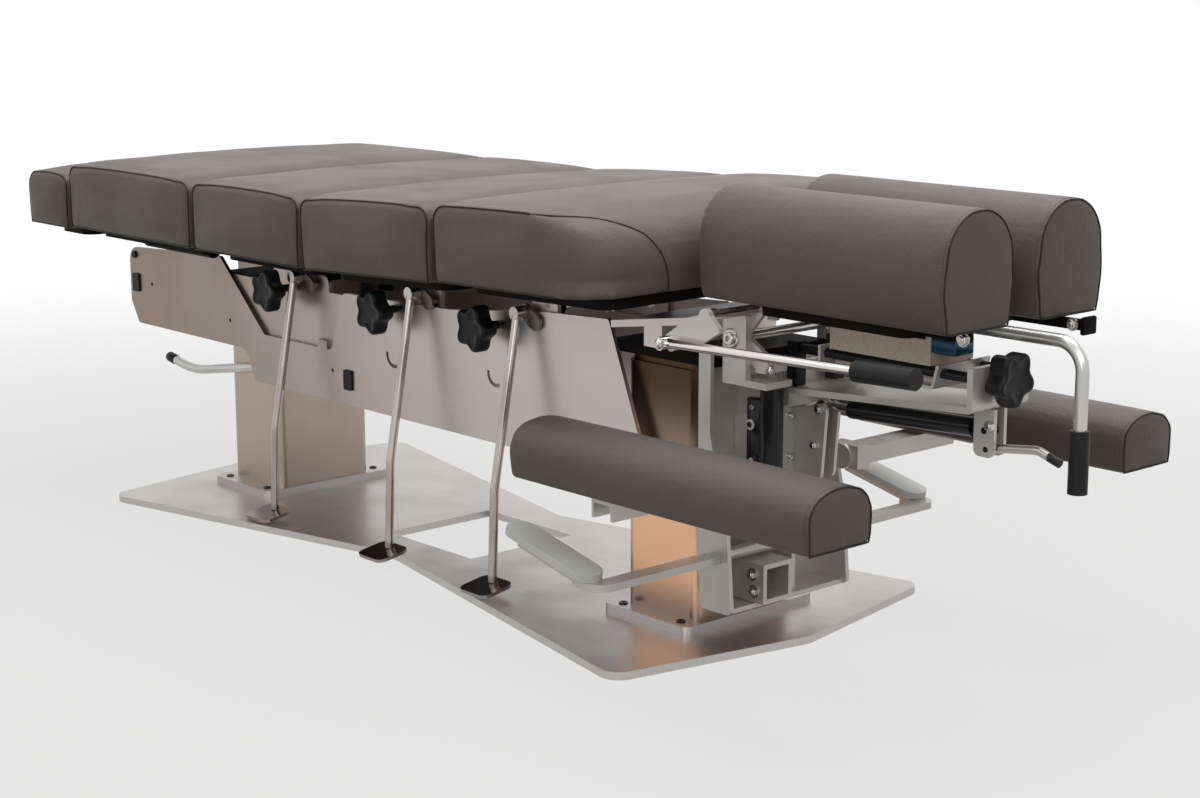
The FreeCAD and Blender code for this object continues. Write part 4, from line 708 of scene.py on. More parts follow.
@dataclass
class Pad:
    """A padded piece: an outline carried along one axis, with domed end panels.

    The outline's closed line where an end panel meets the strip is a seam with dark piping.
    """

    name: str
    body: str
    low: float
    high: float
    bottom: float
    across: Axis = Axis.Y
    fill: float = 0.9
    dome: float = 0.0030
    start_in: float = 0.0008
    travel: float = 0.0036
    end_travel: float = 0.0010
    frames: int = 20
    fill_passes: int = 10
    pinned_height: float = 0.004
    held_width: float = 0.022
    seam_points: int = 260
    groove_depth: float = 0.0010
    groove_width: float = 0.005
    piping_radius: float = 0.0011
    trim_above: float = 0.0002
    stitch_count: int = 110
    stitch_in: float = 0.0065
    stitch_half_width: float = 0.0005
    stitch_half_length: float = 0.45
    piped: tuple[int, ...] = (-1, 1)
    ease_passes: int = 30
    columns: int = 150
    voxel: float = 0.0064
    stitched: bool = False
    turn: Optional[tuple[float, float, float]] = None

    PANEL = (0.985, 0.93, 0.82, 0.66, 0.48, 0.30, 0.14, 0.04)
    ACROSS_ALL = (0.31, 0.43, 0.85)
    FACES_NEIGHBOUR = 0.6
    CLOTH = {"quality": 4, "mass": 0.35, "tension_stiffness": 24.0, "compression_stiffness": 24.0,
             "bending_stiffness": 4.0, "use_pressure": True, "uniform_pressure_force": 4.0,
             "vertex_group_mass": "base"}

    def shares(self) -> np.ndarray:
        """Return the places of the outlines along the axis, from -1 to 1."""
        return np.linspace(-1.0, 1.0, 40)

    def outline(self, share: float) -> np.ndarray:
        """Return the closed outline at a share of the length as pairs of places and heights."""
        raise NotImplementedError

    def _lift(self, pairs: np.ndarray, at: np.ndarray) -> np.ndarray:
        """Place outline pairs in space.

        Args:
            pairs: Rows, columns and two values.
            at: Place along the axis of each row.

        Returns:
            Rows, columns and three values.
        """
        out = np.zeros((*pairs.shape[:2], 3))
        out[..., 0 if self.across is Axis.Y else 1] = pairs[..., 0]
        out[..., 2] = pairs[..., 1]
        out[..., self.across.value] = at[:, None]
        return out

    def rings(self) -> np.ndarray:
        """Return the pad's surface as rings.

        Along the axis each ring is the outline there, drawn in evenly. Over each end panel the
        rings shrink towards its middle while they move out by the dome times one less the square
        of their size.

        Returns:
            Rings, points and coordinates.
        """
        shares = self.shares()
        middle, half = (self.low + self.high) / 2, (self.high - self.low) / 2 - self.start_in
        body = np.stack([self.outline(float(s)) for s in shares])
        size = np.ptp(body, axis=1, keepdims=True) / 2
        centre = body.min(axis=1, keepdims=True) + size
        body = centre + (body - centre) * (1 - self.start_in / size)
        body[..., 1] -= body[..., 1].min() - self.bottom
        panel = np.array(self.PANEL)[:, None, None]
        first = centre[0] + (body[0] - centre[0]) * panel
        last = centre[-1] + (body[-1] - centre[-1]) * panel
        out = self.dome * (1 - panel[:, 0, 0] ** 2)
        at = np.concatenate([(middle - half - out)[::-1], middle + half * shares, middle + half + out])
        return self._lift(np.concatenate([first[::-1], body, last]), at)

    def turned(self, points: np.ndarray) -> np.ndarray:
        """Turn points about the section's hinge; positive lifts the head side.

        Args:
            points: Points of the level section.

        Returns:
            The same points on the section as it stands at rest.
        """
        if self.turn is None:
            return points
        x0, z0, degrees = self.turn
        c, s = math.cos(math.radians(degrees)), math.sin(math.radians(degrees))
        out = points.copy()
        dx, dz = points[..., 0] - x0, points[..., 2] - z0
        out[..., 0], out[..., 2] = x0 + dx * c - dz * s, z0 + dx * s + dz * c
        return out

    def stuff(self, item: Item, lines: list[np.ndarray]) -> None:
        """Fill the pad: an even remesh, some frames of cloth under pressure, a cap on the movement.

        The base rests on its board, so its points are pinned. The cover is taut, so each point
        keeps only its movement along the normal, evened out with its neighbours', and none where
        a seam holds it. Faces towards the next section move least.

        Args:
            item: Pad to fill; its mesh is replaced by the filled one.
            lines: Seam lines.
        """
        remesh = item.modifiers.new("even", "REMESH")
        remesh.mode, remesh.voxel_size = "VOXEL", self.voxel
        item.data = baked(item)
        item.modifiers.clear()
        self.soften(item)
        before, normals = mesh_rows(item.data), mesh_rows(item.data, "normal")
        floor = before[:, 2] < self.bottom + self.pinned_height
        pins = item.vertex_groups.new(name="base")
        pins.add(np.nonzero(floor)[0].tolist(), 1.0, "REPLACE")
        cloth = item.modifiers.new("cloth", "CLOTH")
        for key, value in self.CLOTH.items():
            setattr(cloth.settings, key, value)
        cloth.settings.effector_weights.gravity = 0.0
        cloth.collision_settings.use_collision = False
        cloth.point_cache.frame_start, cloth.point_cache.frame_end = 1, self.frames
        for frame in range(1, self.frames + 1):
            bpy.context.scene.frame_set(frame)
        filled = baked(item)
        bpy.context.scene.frame_set(1)
        out = np.einsum("ij,ij->i", mesh_rows(filled) - before, normals)
        beside = np.abs(normals[:, 0]) > self.FACES_NEIGHBOUR
        limit = np.where(beside, self.end_travel, self.travel)
        out = relaxed(item.data, np.clip(out, 0.0, limit)[:, None], self.fill_passes)
        out *= 1 - np.exp(-(nearest(before, lines) / self.held_width) ** 2)[:, None]
        out[floor] = 0.0
        item.modifiers.clear()
        item.vertex_groups.clear()
        set_points(item.data, before + normals * out)

    def seam(self, end: int) -> np.ndarray:
        """Return the closed line where an end panel meets the strip, at -1 or 1."""
        middle, half = (self.low + self.high) / 2, (self.high - self.low) / 2
        return self._lift(self.outline(float(end))[None], np.array([middle + end * half]))[0]

    def soften(self, item: Item) -> None:
        """Ease the even mesh before it is filled; most pads need nothing."""

    def draw_in(self, item: Item, lines: list[np.ndarray]) -> None:
        """Sink the surface along its seams by a bell curve of the distance to the nearest one.

        Args:
            item: Pad to work on.
            lines: Seam lines.
        """
        points = mesh_rows(item.data)
        depth = self.groove_depth * np.exp(-(nearest(points, lines) / self.groove_width) ** 2)
        set_points(item.data, points - mesh_rows(item.data, "normal") * depth[:, None])

    def laid(self, item: Item, line: np.ndarray, passes: int = 30) -> np.ndarray:
        """Lay a closed line on the pad, a little above its surface.

        Each point's way to the surface is evened out with its neighbours', so the line keeps its
        own clean shape.

        Args:
            item: Pad that carries the line.
            line: Points near the surface.
            passes: Rounds of evening out.

        Returns:
            The laid points.
        """
        tree = BVHTree.FromObject(item, bpy.context.evaluated_depsgraph_get())
        found = [tree.find_nearest(Vector(point)) for point in line]
        places, normals = (np.array([hit[k][:] for hit in found]) for k in (0, 1))
        away = places + self.trim_above * normals - line
        for _ in range(passes):
            away = (np.roll(away, 1, axis=0) + 2 * away + np.roll(away, -1, axis=0)) / 4
        return line + away

    def stitches(self, item: Item, end: int) -> Item:
        """Sew a row of short stitches beside a seam, on the strip.

        Each stitch is a spindle of two four-sided points about a square middle, laid along the
        seam line moved in along the pad's axis.

        Args:
            item: Pad that carries the stitches.
            end: Which seam, -1 or 1.

        Returns:
            The row as one object.
        """
        line = smooth_path(self.seam(end), 2 * self.stitch_count, closed=True)
        line[:, self.across.value] -= end * self.stitch_in
        line = self.laid(item, line)
        start, finish = line[0::2], line[1::2]
        ahead = finish - start
        middle = (start + finish) / 2
        side = np.zeros_like(ahead)
        side[:, self.across.value] = self.stitch_half_width
        up = np.cross(ahead, side)
        up *= self.stitch_half_width / np.linalg.norm(up, axis=1, keepdims=True)
        ahead = ahead * self.stitch_half_length
        tips = [middle - ahead, middle + side, middle + up, middle - side, middle - up, middle + ahead]
        verts = np.stack(tips, 1).reshape(-1, 3)
        one = [[0, 1, 2], [0, 2, 3], [0, 3, 4], [0, 4, 1], [5, 2, 1], [5, 3, 2], [5, 4, 3], [5, 1, 4]]
        faces = (np.arange(len(start))[:, None, None] * len(tips) + np.array(one)).reshape(-1, 3)
        return make_object(f"{self.name}_stitches_{'low' if end < 0 else 'high'}", self.turned(verts), faces)

    def build(self, finishes: Finishes) -> None:
        """Make the pad, its piping and its stitches, and put them on their body.

        Args:
            finishes: The table's finishes.
        """
        item = skin(f"{self.name}_cover", self.rings())
        lines = [smooth_path(self.seam(end), self.seam_points, closed=True) for end in self.piped]
        self.stuff(item, lines)
        self.draw_in(item, lines)
        look = ("dark_piping_vinyl", "upholstery")
        for end, line in zip(self.piped, lines):
            path = self.turned(self.laid(item, line, self.ease_passes))
            label = "low" if end < 0 else "high"
            name = f"{self.name}_piping_{label}"
            piping = tube(name, path, self.piping_radius, self.ACROSS_ALL, closed=True)
            finishes.mount(piping, look, self.body)
            if self.stitched:
                finishes.mount(self.stitches(item, end), look, self.body)
        set_points(item.data, self.turned(mesh_rows(item.data)))
        smooth = item.modifiers.new("round", "SUBSURF")
        smooth.levels = smooth.render_levels = 1
        item.data.polygons.foreach_set("use_smooth", np.ones(len(item.data.polygons), bool))
        finishes.mount(item, ("grey_taupe_vinyl", "upholstery"), self.body, self.name)


@dataclass
class TableCushion(Pad):
    """A crowned cushion across the table, drawn in at its bottom; one may have rounded plan corners."""

    dome: float = 0.0085
    foot: float = 0.0
    head: float = 0.0
    thickness: float = 0.099
    round_foot: float = 0.021
    round_head: float = 0.021
    plan_round: float = 0.0
    crown: float = 0.006
    side_pinch: float = 0.001
    foot_pinch: float = 0.0025
    bow_height: float = 0.002

    EASE_PASSES = 60
    EASE_AHEAD, EASE_ASIDE, EASE_ABOVE = (0.105, 0.04), (0.155, 0.04), (0.006, 0.01)
    FRONT_SEAM = ((0.4400, 0.2770, 0.5335), (0.4650, 0.2650, 0.5340), (0.4850, 0.2460, 0.5325),
                  (0.4960, 0.2270, 0.5290), (0.5060, 0.2120, 0.5245), (0.5150, 0.1980, 0.5190),
                  (0.5210, 0.1870, 0.5135), (0.5270, 0.1770, 0.5070), (0.5350, 0.1680, 0.4955),
                  (0.5400, 0.1620, 0.4850), (0.5425, 0.1580, 0.4740), (0.5440, 0.1540, 0.4600),
                  (0.5445, 0.1520, 0.4470), (0.5440, 0.1520, 0.4360))
    EDGE_ABOVE = 0.001
    RETURN_FROM, RETURN_CORNER, RETURN_TO = (0.03, 0.2), 0.276, 0.0035

    def shares(self) -> np.ndarray:
        """Put the outlines close together where the plan corners turn.

        Returns:
            Places across the table, from -1 to 1.
        """
        if self.plan_round == 0.0:
            return np.linspace(-1.0, 1.0, 56)
        turn = np.radians(np.linspace(0.0, 90.0, 14))
        edge = -1 + (1 - np.cos(turn)) * self.plan_round / self.high
        return np.concatenate([edge, np.linspace(edge[-1], -edge[-1], 42)[1:-1], -edge[::-1]])

    def reach(self, share: float) -> float:
        """Work out how far the cushion reaches towards the head at a share of its width.

        Past the plan corner's centre it is that centre plus the root of the corner's radius
        squared less the distance past the centre squared.

        Args:
            share: Place across the table, from -1 to 1.

        Returns:
            The place along the table.
        """
        past = abs(share) * self.high - (self.high - self.plan_round)
        if self.plan_round == 0.0 or past <= 0:
            return self.head
        return self.head - self.plan_round + math.sqrt(max(self.plan_round ** 2 - past ** 2, 0.0))

    def outline(self, share: float) -> np.ndarray:
        """Draw the lengthwise outline, cut off upright where the plan corner cuts it.

        The base is drawn in, both upper edges are quarter circles, and a low parabola joins them.

        Args:
            share: Place across the table, from -1 to 1.

        Returns:
            Places along the table and heights.
        """
        swell = 1 - share * share
        top = self.bottom + self.thickness + self.crown * swell
        x0, x1 = self.foot + self.side_pinch * (1 - swell), self.head - self.side_pinch * (1 - swell)
        rf, rh, low = self.round_foot, self.round_head, self.foot_pinch
        ridge = np.linspace(0.0, 1.0, 9)[1:-1, None]
        end = np.array([[x1 - rh, top], [x0 + rf, top]])
        bow = end[0] + (end[1] - end[0]) * ridge
        bow[:, 1] += self.bow_height * (1 - (2 * ridge[:, 0] - 1) ** 2)
        points = np.concatenate([
            [[x0 + low, self.bottom], [x1 - low, self.bottom]],
            arc((x1 - rh, top - rh), rh, 0.0, 90.0), bow, arc((x0 + rf, top - rf), rf, 90.0, 180.0)])
        points[:, 0] = np.minimum(points[:, 0], self.reach(share))
        return smooth_path(points, self.columns, closed=True)

    def soften(self, item: Item) -> None:
        """Ease the ridge over the plan corners, away from the sides, by evening out the points.

        Args:
            item: Cushion to ease.
        """
        if self.plan_round == 0.0:
            return
        points = mesh_rows(item.data)
        (back, along), (inner, across), (under, upwards) = self.EASE_AHEAD, self.EASE_ASIDE, self.EASE_ABOVE
        ahead = np.clip((points[:, 0] - self.head + back) / along, 0.0, 1.0)
        aside = np.clip((np.abs(points[:, 1]) - inner) / across, 0.0, 1.0)
        above = np.clip((points[:, 2] - self.bottom - under) / upwards, 0.0, 1.0)
        share = (ahead * aside * above)[:, None]
        set_points(item.data, points * (1 - share) + relaxed(item.data, points, self.EASE_PASSES) * share)

    def seam(self, end: int) -> np.ndarray:
        """Draw the seam; with rounded plan corners it leaves the edge and comes down in front.

        Its run over the corner goes through points set on the cover, from the side's upper edge
        to the underside of the head end, with the section unturned. From there it goes back under
        the cushion, out of sight.

        Args:
            end: Which side, -1 or 1.

        Returns:
            Points of the closed line.
        """
        if self.plan_round == 0.0:
            return super().seam(end)
        points = self.outline(float(end))
        side = np.column_stack([points[:, 0], np.full(len(points), end * self.high), points[:, 1]])
        upper = side[(side[:, 0] < self.FRONT_SEAM[0][0]) & (side[:, 2] > self.bottom + self.EDGE_ABOVE)]
        upper = upper[np.argsort(upper[:, 0] + upper[:, 2])]
        front = np.array(self.FRONT_SEAM) * (1.0, end, 1.0)
        behind, aside = self.RETURN_FROM
        back = np.array([[self.head - behind, end * aside, self.bottom],
                         [self.head - self.plan_round, end * self.RETURN_CORNER, self.bottom],
                         [self.foot + self.RETURN_TO, end * self.high, self.bottom]])
        return np.concatenate([upper, front, back])


@dataclass
class LongPad(Pad):
    """A long pad along the table whose foot end is rounded and whose head end is a piped panel."""

    across: Axis = Axis.X
    centre_y: float = 0.0
    foot_round: float = 0.007
    piped: tuple[int, ...] = (1,)
    stitched: bool = True
    voxel: float = 0.0055
    columns: int = 96
    half_width: float = 0.057
    side_height: float = 0.084
    rise: float = 0.050

    RISE_DRAWN, SIDE_DRAWN = 0.6, 0.3

    def shares(self) -> np.ndarray:
        """Put the outlines close together at the rounded foot end.

        Returns:
            Places along the pad, from -1 to 1.
        """
        length = self.high - self.low
        turn = np.radians(np.linspace(8.0, 90.0, 9))
        edge = -1 + 2 * self.foot_round * (1 - np.cos(turn)) / length
        return np.concatenate([edge, np.linspace(edge[-1], 1.0, 48)[1:]])

    def drawn_in(self, inset: float) -> tuple[float, float, float]:
        """Return half the width, the rise and the sides' top less their shares of an inset."""
        return (self.half_width - inset, self.rise - inset * self.RISE_DRAWN,
                self.bottom + self.side_height - inset * self.SIDE_DRAWN)

    def section(self, inset: float) -> np.ndarray:
        """Return the crosswise outline drawn in by an inset at its sides and top."""
        raise NotImplementedError

    def outline(self, share: float) -> np.ndarray:
        """Draw the outline; over the foot end's rounding it is drawn in along a quarter circle.

        Args:
            share: Place along the pad, from -1 to 1.

        Returns:
            Places across the table and heights.
        """
        along = (share + 1) / 2 * (self.high - self.low)
        short = max(self.foot_round - along, 0.0)
        inset = self.foot_round - math.sqrt(self.foot_round ** 2 - short ** 2)
        return smooth_path(self.section(inset), self.columns, closed=True)


@dataclass
class HeadCushion(LongPad):
    """An arched head cushion: straight sides under a nearly half-round top."""

    swell: float = 0.0022
    tuck: float = 0.005

    def section(self, inset: float) -> np.ndarray:
        """Draw the sides and an arc whose radius follows from its chord and rise.

        A side stands half the width out, plus the swell times four times the share of its height
        times the rest, less the tuck times the fourth power of the rest.

        Args:
            inset: How far the outline is drawn in.

        Returns:
            Places across the table and heights.
        """
        half, rise, side = self.drawn_in(inset)
        radius = (half ** 2 + rise ** 2) / (2 * rise)
        open_deg = math.degrees(math.asin(min(half / radius, 1.0)))
        bow = arc((self.centre_y, side + rise - radius), radius, 90 - open_deg, 90 + open_deg, 31)
        up = np.linspace(0.0, 1.0, 8)[:-1]
        swell = half - self.tuck * (1 - up) ** 4 + self.swell * 4 * up * (1 - up)
        height = self.bottom + (side - self.bottom) * up
        right = np.stack([self.centre_y + swell, height], -1)
        left = np.stack([self.centre_y - swell, height], -1)[::-1]
        return np.concatenate([right, bow, left])


@dataclass
class ArmrestPad(LongPad):
    """An armrest pad: upright sides under a full, flattened arch."""

    half_width: float = 0.050
    side_height: float = 0.030
    rise: float = 0.040
    power: float = 0.80
    foot_pinch: float = 0.003

    def section(self, inset: float) -> np.ndarray:
        """Draw the sides and the arch.

        The arch is half the width times a power of the cosine of the angle across, and the rise
        times the same power of its sine upwards.

        Args:
            inset: How far the outline is drawn in.

        Returns:
            Places across the table and heights.
        """
        half, rise, side = self.drawn_in(inset)
        angle = np.linspace(0.0, math.pi, 61)
        across = np.sign(np.cos(angle)) * np.abs(np.cos(angle)) ** self.power
        bow = np.stack([self.centre_y + half * across, side + rise * np.sin(angle) ** self.power], -1)
        base = [[self.centre_y + sign * (half - self.foot_pinch), self.bottom] for sign in (-1, 1)]
        return np.concatenate([base, bow])


class Upholstery:
    """All nine padded pieces."""

    def __init__(self) -> None:
        """Set out the pads from the table's own measures."""
        hinges = {"lumbar": (-0.026, 0.388, 2.6), "chest": (0.263, 0.388, 1.54)}
        wide = {"low": -0.280, "high": 0.280}
        self.pads: list[Pad] = [
            TableCushion("end_cushion", "end_section", bottom=0.416, foot=-0.8073, head=-0.6783,
                         thickness=0.086, round_foot=0.026, **wide),
            TableCushion("leg_cushion", "lift_frame", bottom=0.420, foot=-0.6743, head=-0.3205, **wide),
            TableCushion("pelvic_cushion", "pelvic_section", bottom=0.420, foot=-0.3155, head=-0.0435,
                         **wide),
            TableCushion("lumbar_cushion", "lumbar_section", bottom=0.420, foot=-0.0385, head=0.2455,
                         turn=hinges["lumbar"], **wide),
            TableCushion("chest_cushion", "chest_section", bottom=0.435, foot=0.2505, head=0.5445,
                         round_head=0.074, plan_round=0.066, turn=hinges["chest"],
                         ease_passes=14, dome=0.004, **wide),
        ]
        for side, sign in (("near", -1), ("far", 1)):
            self.pads.append(HeadCushion(f"{side}_head_cushion", f"{side}_headrest", low=0.571, high=0.943,
                                         bottom=0.438, centre_y=sign * 0.080))
            self.pads.append(ArmrestPad(f"{side}_armrest_pad", f"{side}_armrest", low=0.443, high=0.925,
                                        bottom=0.229, centre_y=sign * 0.2725))

    def build(self, finishes: Finishes) -> None:
        """Build every pad with the table's finishes."""
        for pad in self.pads:
            pad.build(finishes)


# Star knobs


@dataclass
class StarKnob:
    """A moulded knob with soft lobes, a dished face, a hub and its shaft."""

    name: str
    body: str
    centre: Point
    axis: Axis
    sign: int
    shaft: float
    radius: float = 0.0285
    lobe: float = 0.0040
    lobes: int = 5
    half: float = 0.012
    sides: int = 90
    shaft_radius: float = 0.0057
    hub_radius: float = 0.0110
    hub_height: float = 0.008
    hub_ease: float = 0.0005
    middle_radius: float = 0.004

    LOBED = ((0.0085, -1, 0.0), (0.0040, -1, 0.0), (0.0012, -1, 0.0014), (0.0, -1, 0.0040), (0.0, 1, -0.0045),
             (0.0010, 1, -0.0018), (0.0032, 1, -0.0004), (0.0052, 1, 0.0), (0.0066, 1, -0.0003),
             (0.0080, 1, -0.0012), (0.0150, 1, -0.0016))

    def build(self, finishes: Finishes) -> None:
        """Make the knob and put it on its body.

        At angle a a lobed ring has the radius plus the lobe's height times the cosine of the
        number of lobes times a, less the ring's inset; a round ring has its own radius. LOBED
        gives a ring's inset, the face that it belongs to and its step from that face.

        Args:
            finishes: The table's finishes.
        """
        hub, ease = self.half + self.hub_height, self.hub_ease
        round_rings = ((self.shaft_radius, -self.shaft), (self.shaft_radius, -hub),
                       (self.hub_radius - ease, -hub), (self.hub_radius, -hub + 2 * ease),
                       (self.hub_radius, -self.half - ease))
        lobed = [(inset, face * self.half + step) for inset, face, step in self.LOBED]
        angle = np.linspace(0.0, 2 * math.pi, self.sides, endpoint=False)
        wave = self.radius + self.lobe * np.cos(self.lobes * angle)
        rows = [(np.full(self.sides, r), at) for r, at in round_rings]
        rows += [(wave - inset, at) for inset, at in lobed]
        rows.append((np.full(self.sides, self.middle_radius), lobed[-1][1]))
        reach, height = np.stack([r for r, _ in rows]), np.array([at for _, at in rows])
        rings = np.zeros((len(rows), self.sides, 3))
        if self.axis is Axis.Y:
            rings[..., 0], rings[..., 2] = reach * np.cos(angle), reach * np.sin(angle)
        else:
            rings[..., 2], rings[..., 1] = -reach * np.cos(angle), reach * np.sin(angle)
        rings[..., self.axis.value] = self.sign * height[:, None]
        item = shade_smooth(skin(f"{self.name}_moulding", rings + np.array(self.centre)), angle_deg=38.0)
        finishes.mount(item, ("black_moulded_plastic", "black_plastic"), self.body, self.name)


class Knobs:
    """The three tension knobs and the head piece's knob."""

    def __init__(self) -> None:
        """Set out the knobs."""
        self.knobs = [
            StarKnob("pelvic_tension_knob", "pelvic_knob", (-0.335, -0.140, 0.345), Axis.Y, -1, 0.062),
            StarKnob("lumbar_tension_knob", "lumbar_knob", (-0.068, -0.140, 0.345), Axis.Y, -1, 0.062),
            StarKnob("chest_tension_knob", "chest_knob", (0.160, -0.140, 0.351), Axis.Y, -1, 0.062),
            StarKnob("head_knob", "head_knob", (0.932, -0.010, 0.377), Axis.X, 1, 0.035),
        ]

    def build(self, finishes: Finishes) -> None:
        """Build every knob with the table's finishes."""
        for knob in self.knobs:
            knob.build(finishes)


# Foot end lever


@dataclass
class ReleaseLever:
    """The foot end release lever: a bent tube with a rounded cap."""

    pivot: Point = (-0.385, -0.0925, 0.217)
    bend: Point = (-0.6345, -0.0925, 0.176)
    tip: Point = (-0.7085, -0.0925, 0.1885)
    across: Point = (0.0, 1.0, 0.0)
    radius: float = 0.0072
    bend_from: float = 0.14
    bend_to: float = 0.5
    bend_steps: int = 14
    steps: int = 60
    sides: int = 20
    cap_sides: int = 24
    cap: tuple = ((0.0077, -0.022), (0.0082, -0.020), (0.0082, -0.003), (0.0075, -0.0006), (0.0054, 0.0010),
                  (0.0020, 0.0016))

    def path(self) -> np.ndarray:
        """Draw the middle line: two straights joined by a quadratic curve about the bend.

        Returns:
            Points from the pivot to the tip.
        """
        pivot, bend, tip = (np.array(point) for point in (self.pivot, self.bend, self.tip))
        start, end = bend + (pivot - bend) * self.bend_from, bend + (tip - bend) * self.bend_to
        t = np.linspace(0.0, 1.0, self.bend_steps)[:, None]
        curve = (1 - t) ** 2 * start + 2 * t * (1 - t) * bend + t ** 2 * end
        return smooth_path(np.concatenate([pivot[None], curve, tip[None]]), self.steps)

    def build(self, finishes: Finishes) -> None:
        """Make the tube and its cap, which is turned about the tube's last stretch.

        Args:
            finishes: The table's finishes.
        """
        pipe = tube("foot_release_tube", self.path(), self.radius, self.across, self.sides)
        ahead = np.array(self.tip) - np.array(self.bend)
        ahead /= np.linalg.norm(ahead)
        up = np.cross(ahead, self.across)
        angle = np.linspace(0.0, 2 * math.pi, self.cap_sides, endpoint=False)[:, None]
        rings = np.stack([np.array(self.tip) + ahead * at
                          + r * (np.cos(angle) * up + np.sin(angle) * np.array(self.across))
                          for r, at in self.cap])
        cover = shade_smooth(skin("foot_release_end_cap", rings), angle_deg=50.0)
        finishes.mount(pipe, ("satin_silver_tube", "chrome"), "foot_release", "foot_release_lever")
        finishes.mount(cover, ("black_moulded_plastic", "black_plastic"), "foot_release", "foot_release_cap")


# Small fittings


def mm(*values: float) -> Point:
    """Return millimetres as metres."""
    return tuple(v / 1000 for v in values)


SUNK = -0.4
HEX_WASHER, ROUND_WASHER = 1.4, (1.2, 1.6, 0.94)
HEX_HEAD = ((1.0, -0.8, 1), (0.84, 0.0, 1), (0.62, 0.0, 0), (0.58, 1.6, 0), (0.5, 2.0, 0))
ROUND_HEAD = ((1.0, 1.0, -0.7, 0), (0.9, 1.0, 0.0, 0), (0.56, 1.0, 0.0, 1), (0.54, 0.45, 0.0, 1))
DISC = ((1.0, 0.8), (0.92, 1.0))


def hex_bolt(radius: float, height: float, washer: float = 0.0) -> list:
    """Return a bolt head's profile in millimetres, with a washer under it where one is given.

    HEX_HEAD gives each ring of the head as a share of the radius, the height over the head's
    top and the shape.

    Args:
        radius: Half the width across the corners.
        height: Height of the head.
        washer: Washer radius, or zero.

    Returns:
        Rings of radius, height and shape, sunk a little into the seat.
    """
    if washer:
        base = [(washer, SUNK, 0), (washer, HEX_WASHER, 0), (radius, HEX_WASHER, 1)]
    else:
        base = [(radius, SUNK, 1), (radius, 0.0, 1)]
    return base + [(radius * share, height + over, shape) for share, over, shape in HEX_HEAD]


def socket_bolt(radius: float, height: float, washer: float = 0.0) -> list:
    """Return a round socket head in millimetres, with a washer under it where one is given.

    ROUND_HEAD gives each ring's share of the radius, share of the height, step and shape.

    Args:
        radius: Radius of the head.
        height: Height of the head.
        washer: Washer radius, or zero.

    Returns:
        Rings of radius, height and shape, sunk a little into the seat.
    """
    edge, top, drawn = ROUND_WASHER
    base = [(washer, SUNK, 0), (washer, edge, 0), (washer * drawn, top, 0)] if washer else []
    head = [(radius * share, height * up + step, shape) for share, up, step, shape in ROUND_HEAD]
    return base + [(radius, top if washer else SUNK, 0)] + head


def disc(radius: float, height: float) -> list:
    """Return a plain round piece with eased edges, in millimetres."""
    return [(radius, SUNK, 0)] + [(radius * share, height * up, 0) for share, up in DISC]


@dataclass(frozen=True)
class Fitting:
    """A small turned or hexagonal piece on a seat, in millimetres.

    Its profile is a list of radius, height and 1 for a hexagonal or 0 for a round ring.
    """

    name: str
    body: str
    centre: Point
    axis: Axis
    sign: int
    profile: list
    look: tuple[str, str]
    sides: int = 24

    def build(self, finishes: Finishes, node: str = "") -> None:
        """Make the piece and put it on its body.

        A hexagonal ring has at angle a the radius times cos 30 over the cosine of a's distance
        from the middle of its sixth of a turn.

        Args:
            finishes: The table's finishes.
            node: Frame piece that it stands for, if any.
        """
        angle = np.linspace(0.0, 2 * math.pi, self.sides, endpoint=False)
        sixth = np.mod(angle, math.pi / 3) - math.pi / 6
        hexagon = math.cos(math.pi / 6) / np.cos(sixth)
        data = np.array([(r / 1000, h / 1000, k) for r, h, k in self.profile])
        reach = data[:, :1] * np.where(data[:, 2:3] > 0, hexagon[None, :], 1.0)
        rings = np.zeros((len(data), self.sides, 3))
        a, b = (self.axis.value + 1) % 3, (self.axis.value + 2) % 3
        rings[..., a], rings[..., b] = reach * np.cos(angle), reach * np.sin(angle)
        rings[..., self.axis.value] = self.sign * data[:, 1:2]
        item = shade_smooth(skin(self.name, rings + np.array(mm(*self.centre))), angle_deg=32.0)
        finishes.mount(item, self.look, self.body, node)


@dataclass(frozen=True)
class Block:
    """A block with eased edges, given by its lowest and highest corners in millimetres."""

    name: str
    body: str
    low: Point
    high: Point
    ease: float
    look: tuple[str, str]

    def build(self, finishes: Finishes) -> None:
        """Make the block from a rounded square outline in four rings and put it on its body.

        Args:
            finishes: The table's finishes.
        """
        a, b, ease = np.array(mm(*self.low)), np.array(mm(*self.high)), self.ease
        middle, half = (a[:2] + b[:2]) / 2, (b[:2] - a[:2]) / 2
        loop = np.concatenate([
            arc(tuple(middle + np.array(side) * (half - ease)), ease, turn, turn + 90, 5)
            for side, turn in (((1, 1), 0), ((-1, 1), 90), ((-1, -1), 180), ((1, -1), 270))])
        small = middle + (loop - middle) * (1 - ease / half)
        stack = [(small, a[2]), (loop, a[2] + ease), (loop, b[2] - ease), (small, b[2])]
        rings = np.stack([np.column_stack([ring, np.full(len(ring), z)]) for ring, z in stack])
        finishes.mount(shade_smooth(skin(self.name, rings), angle_deg=50.0), self.look, self.body)


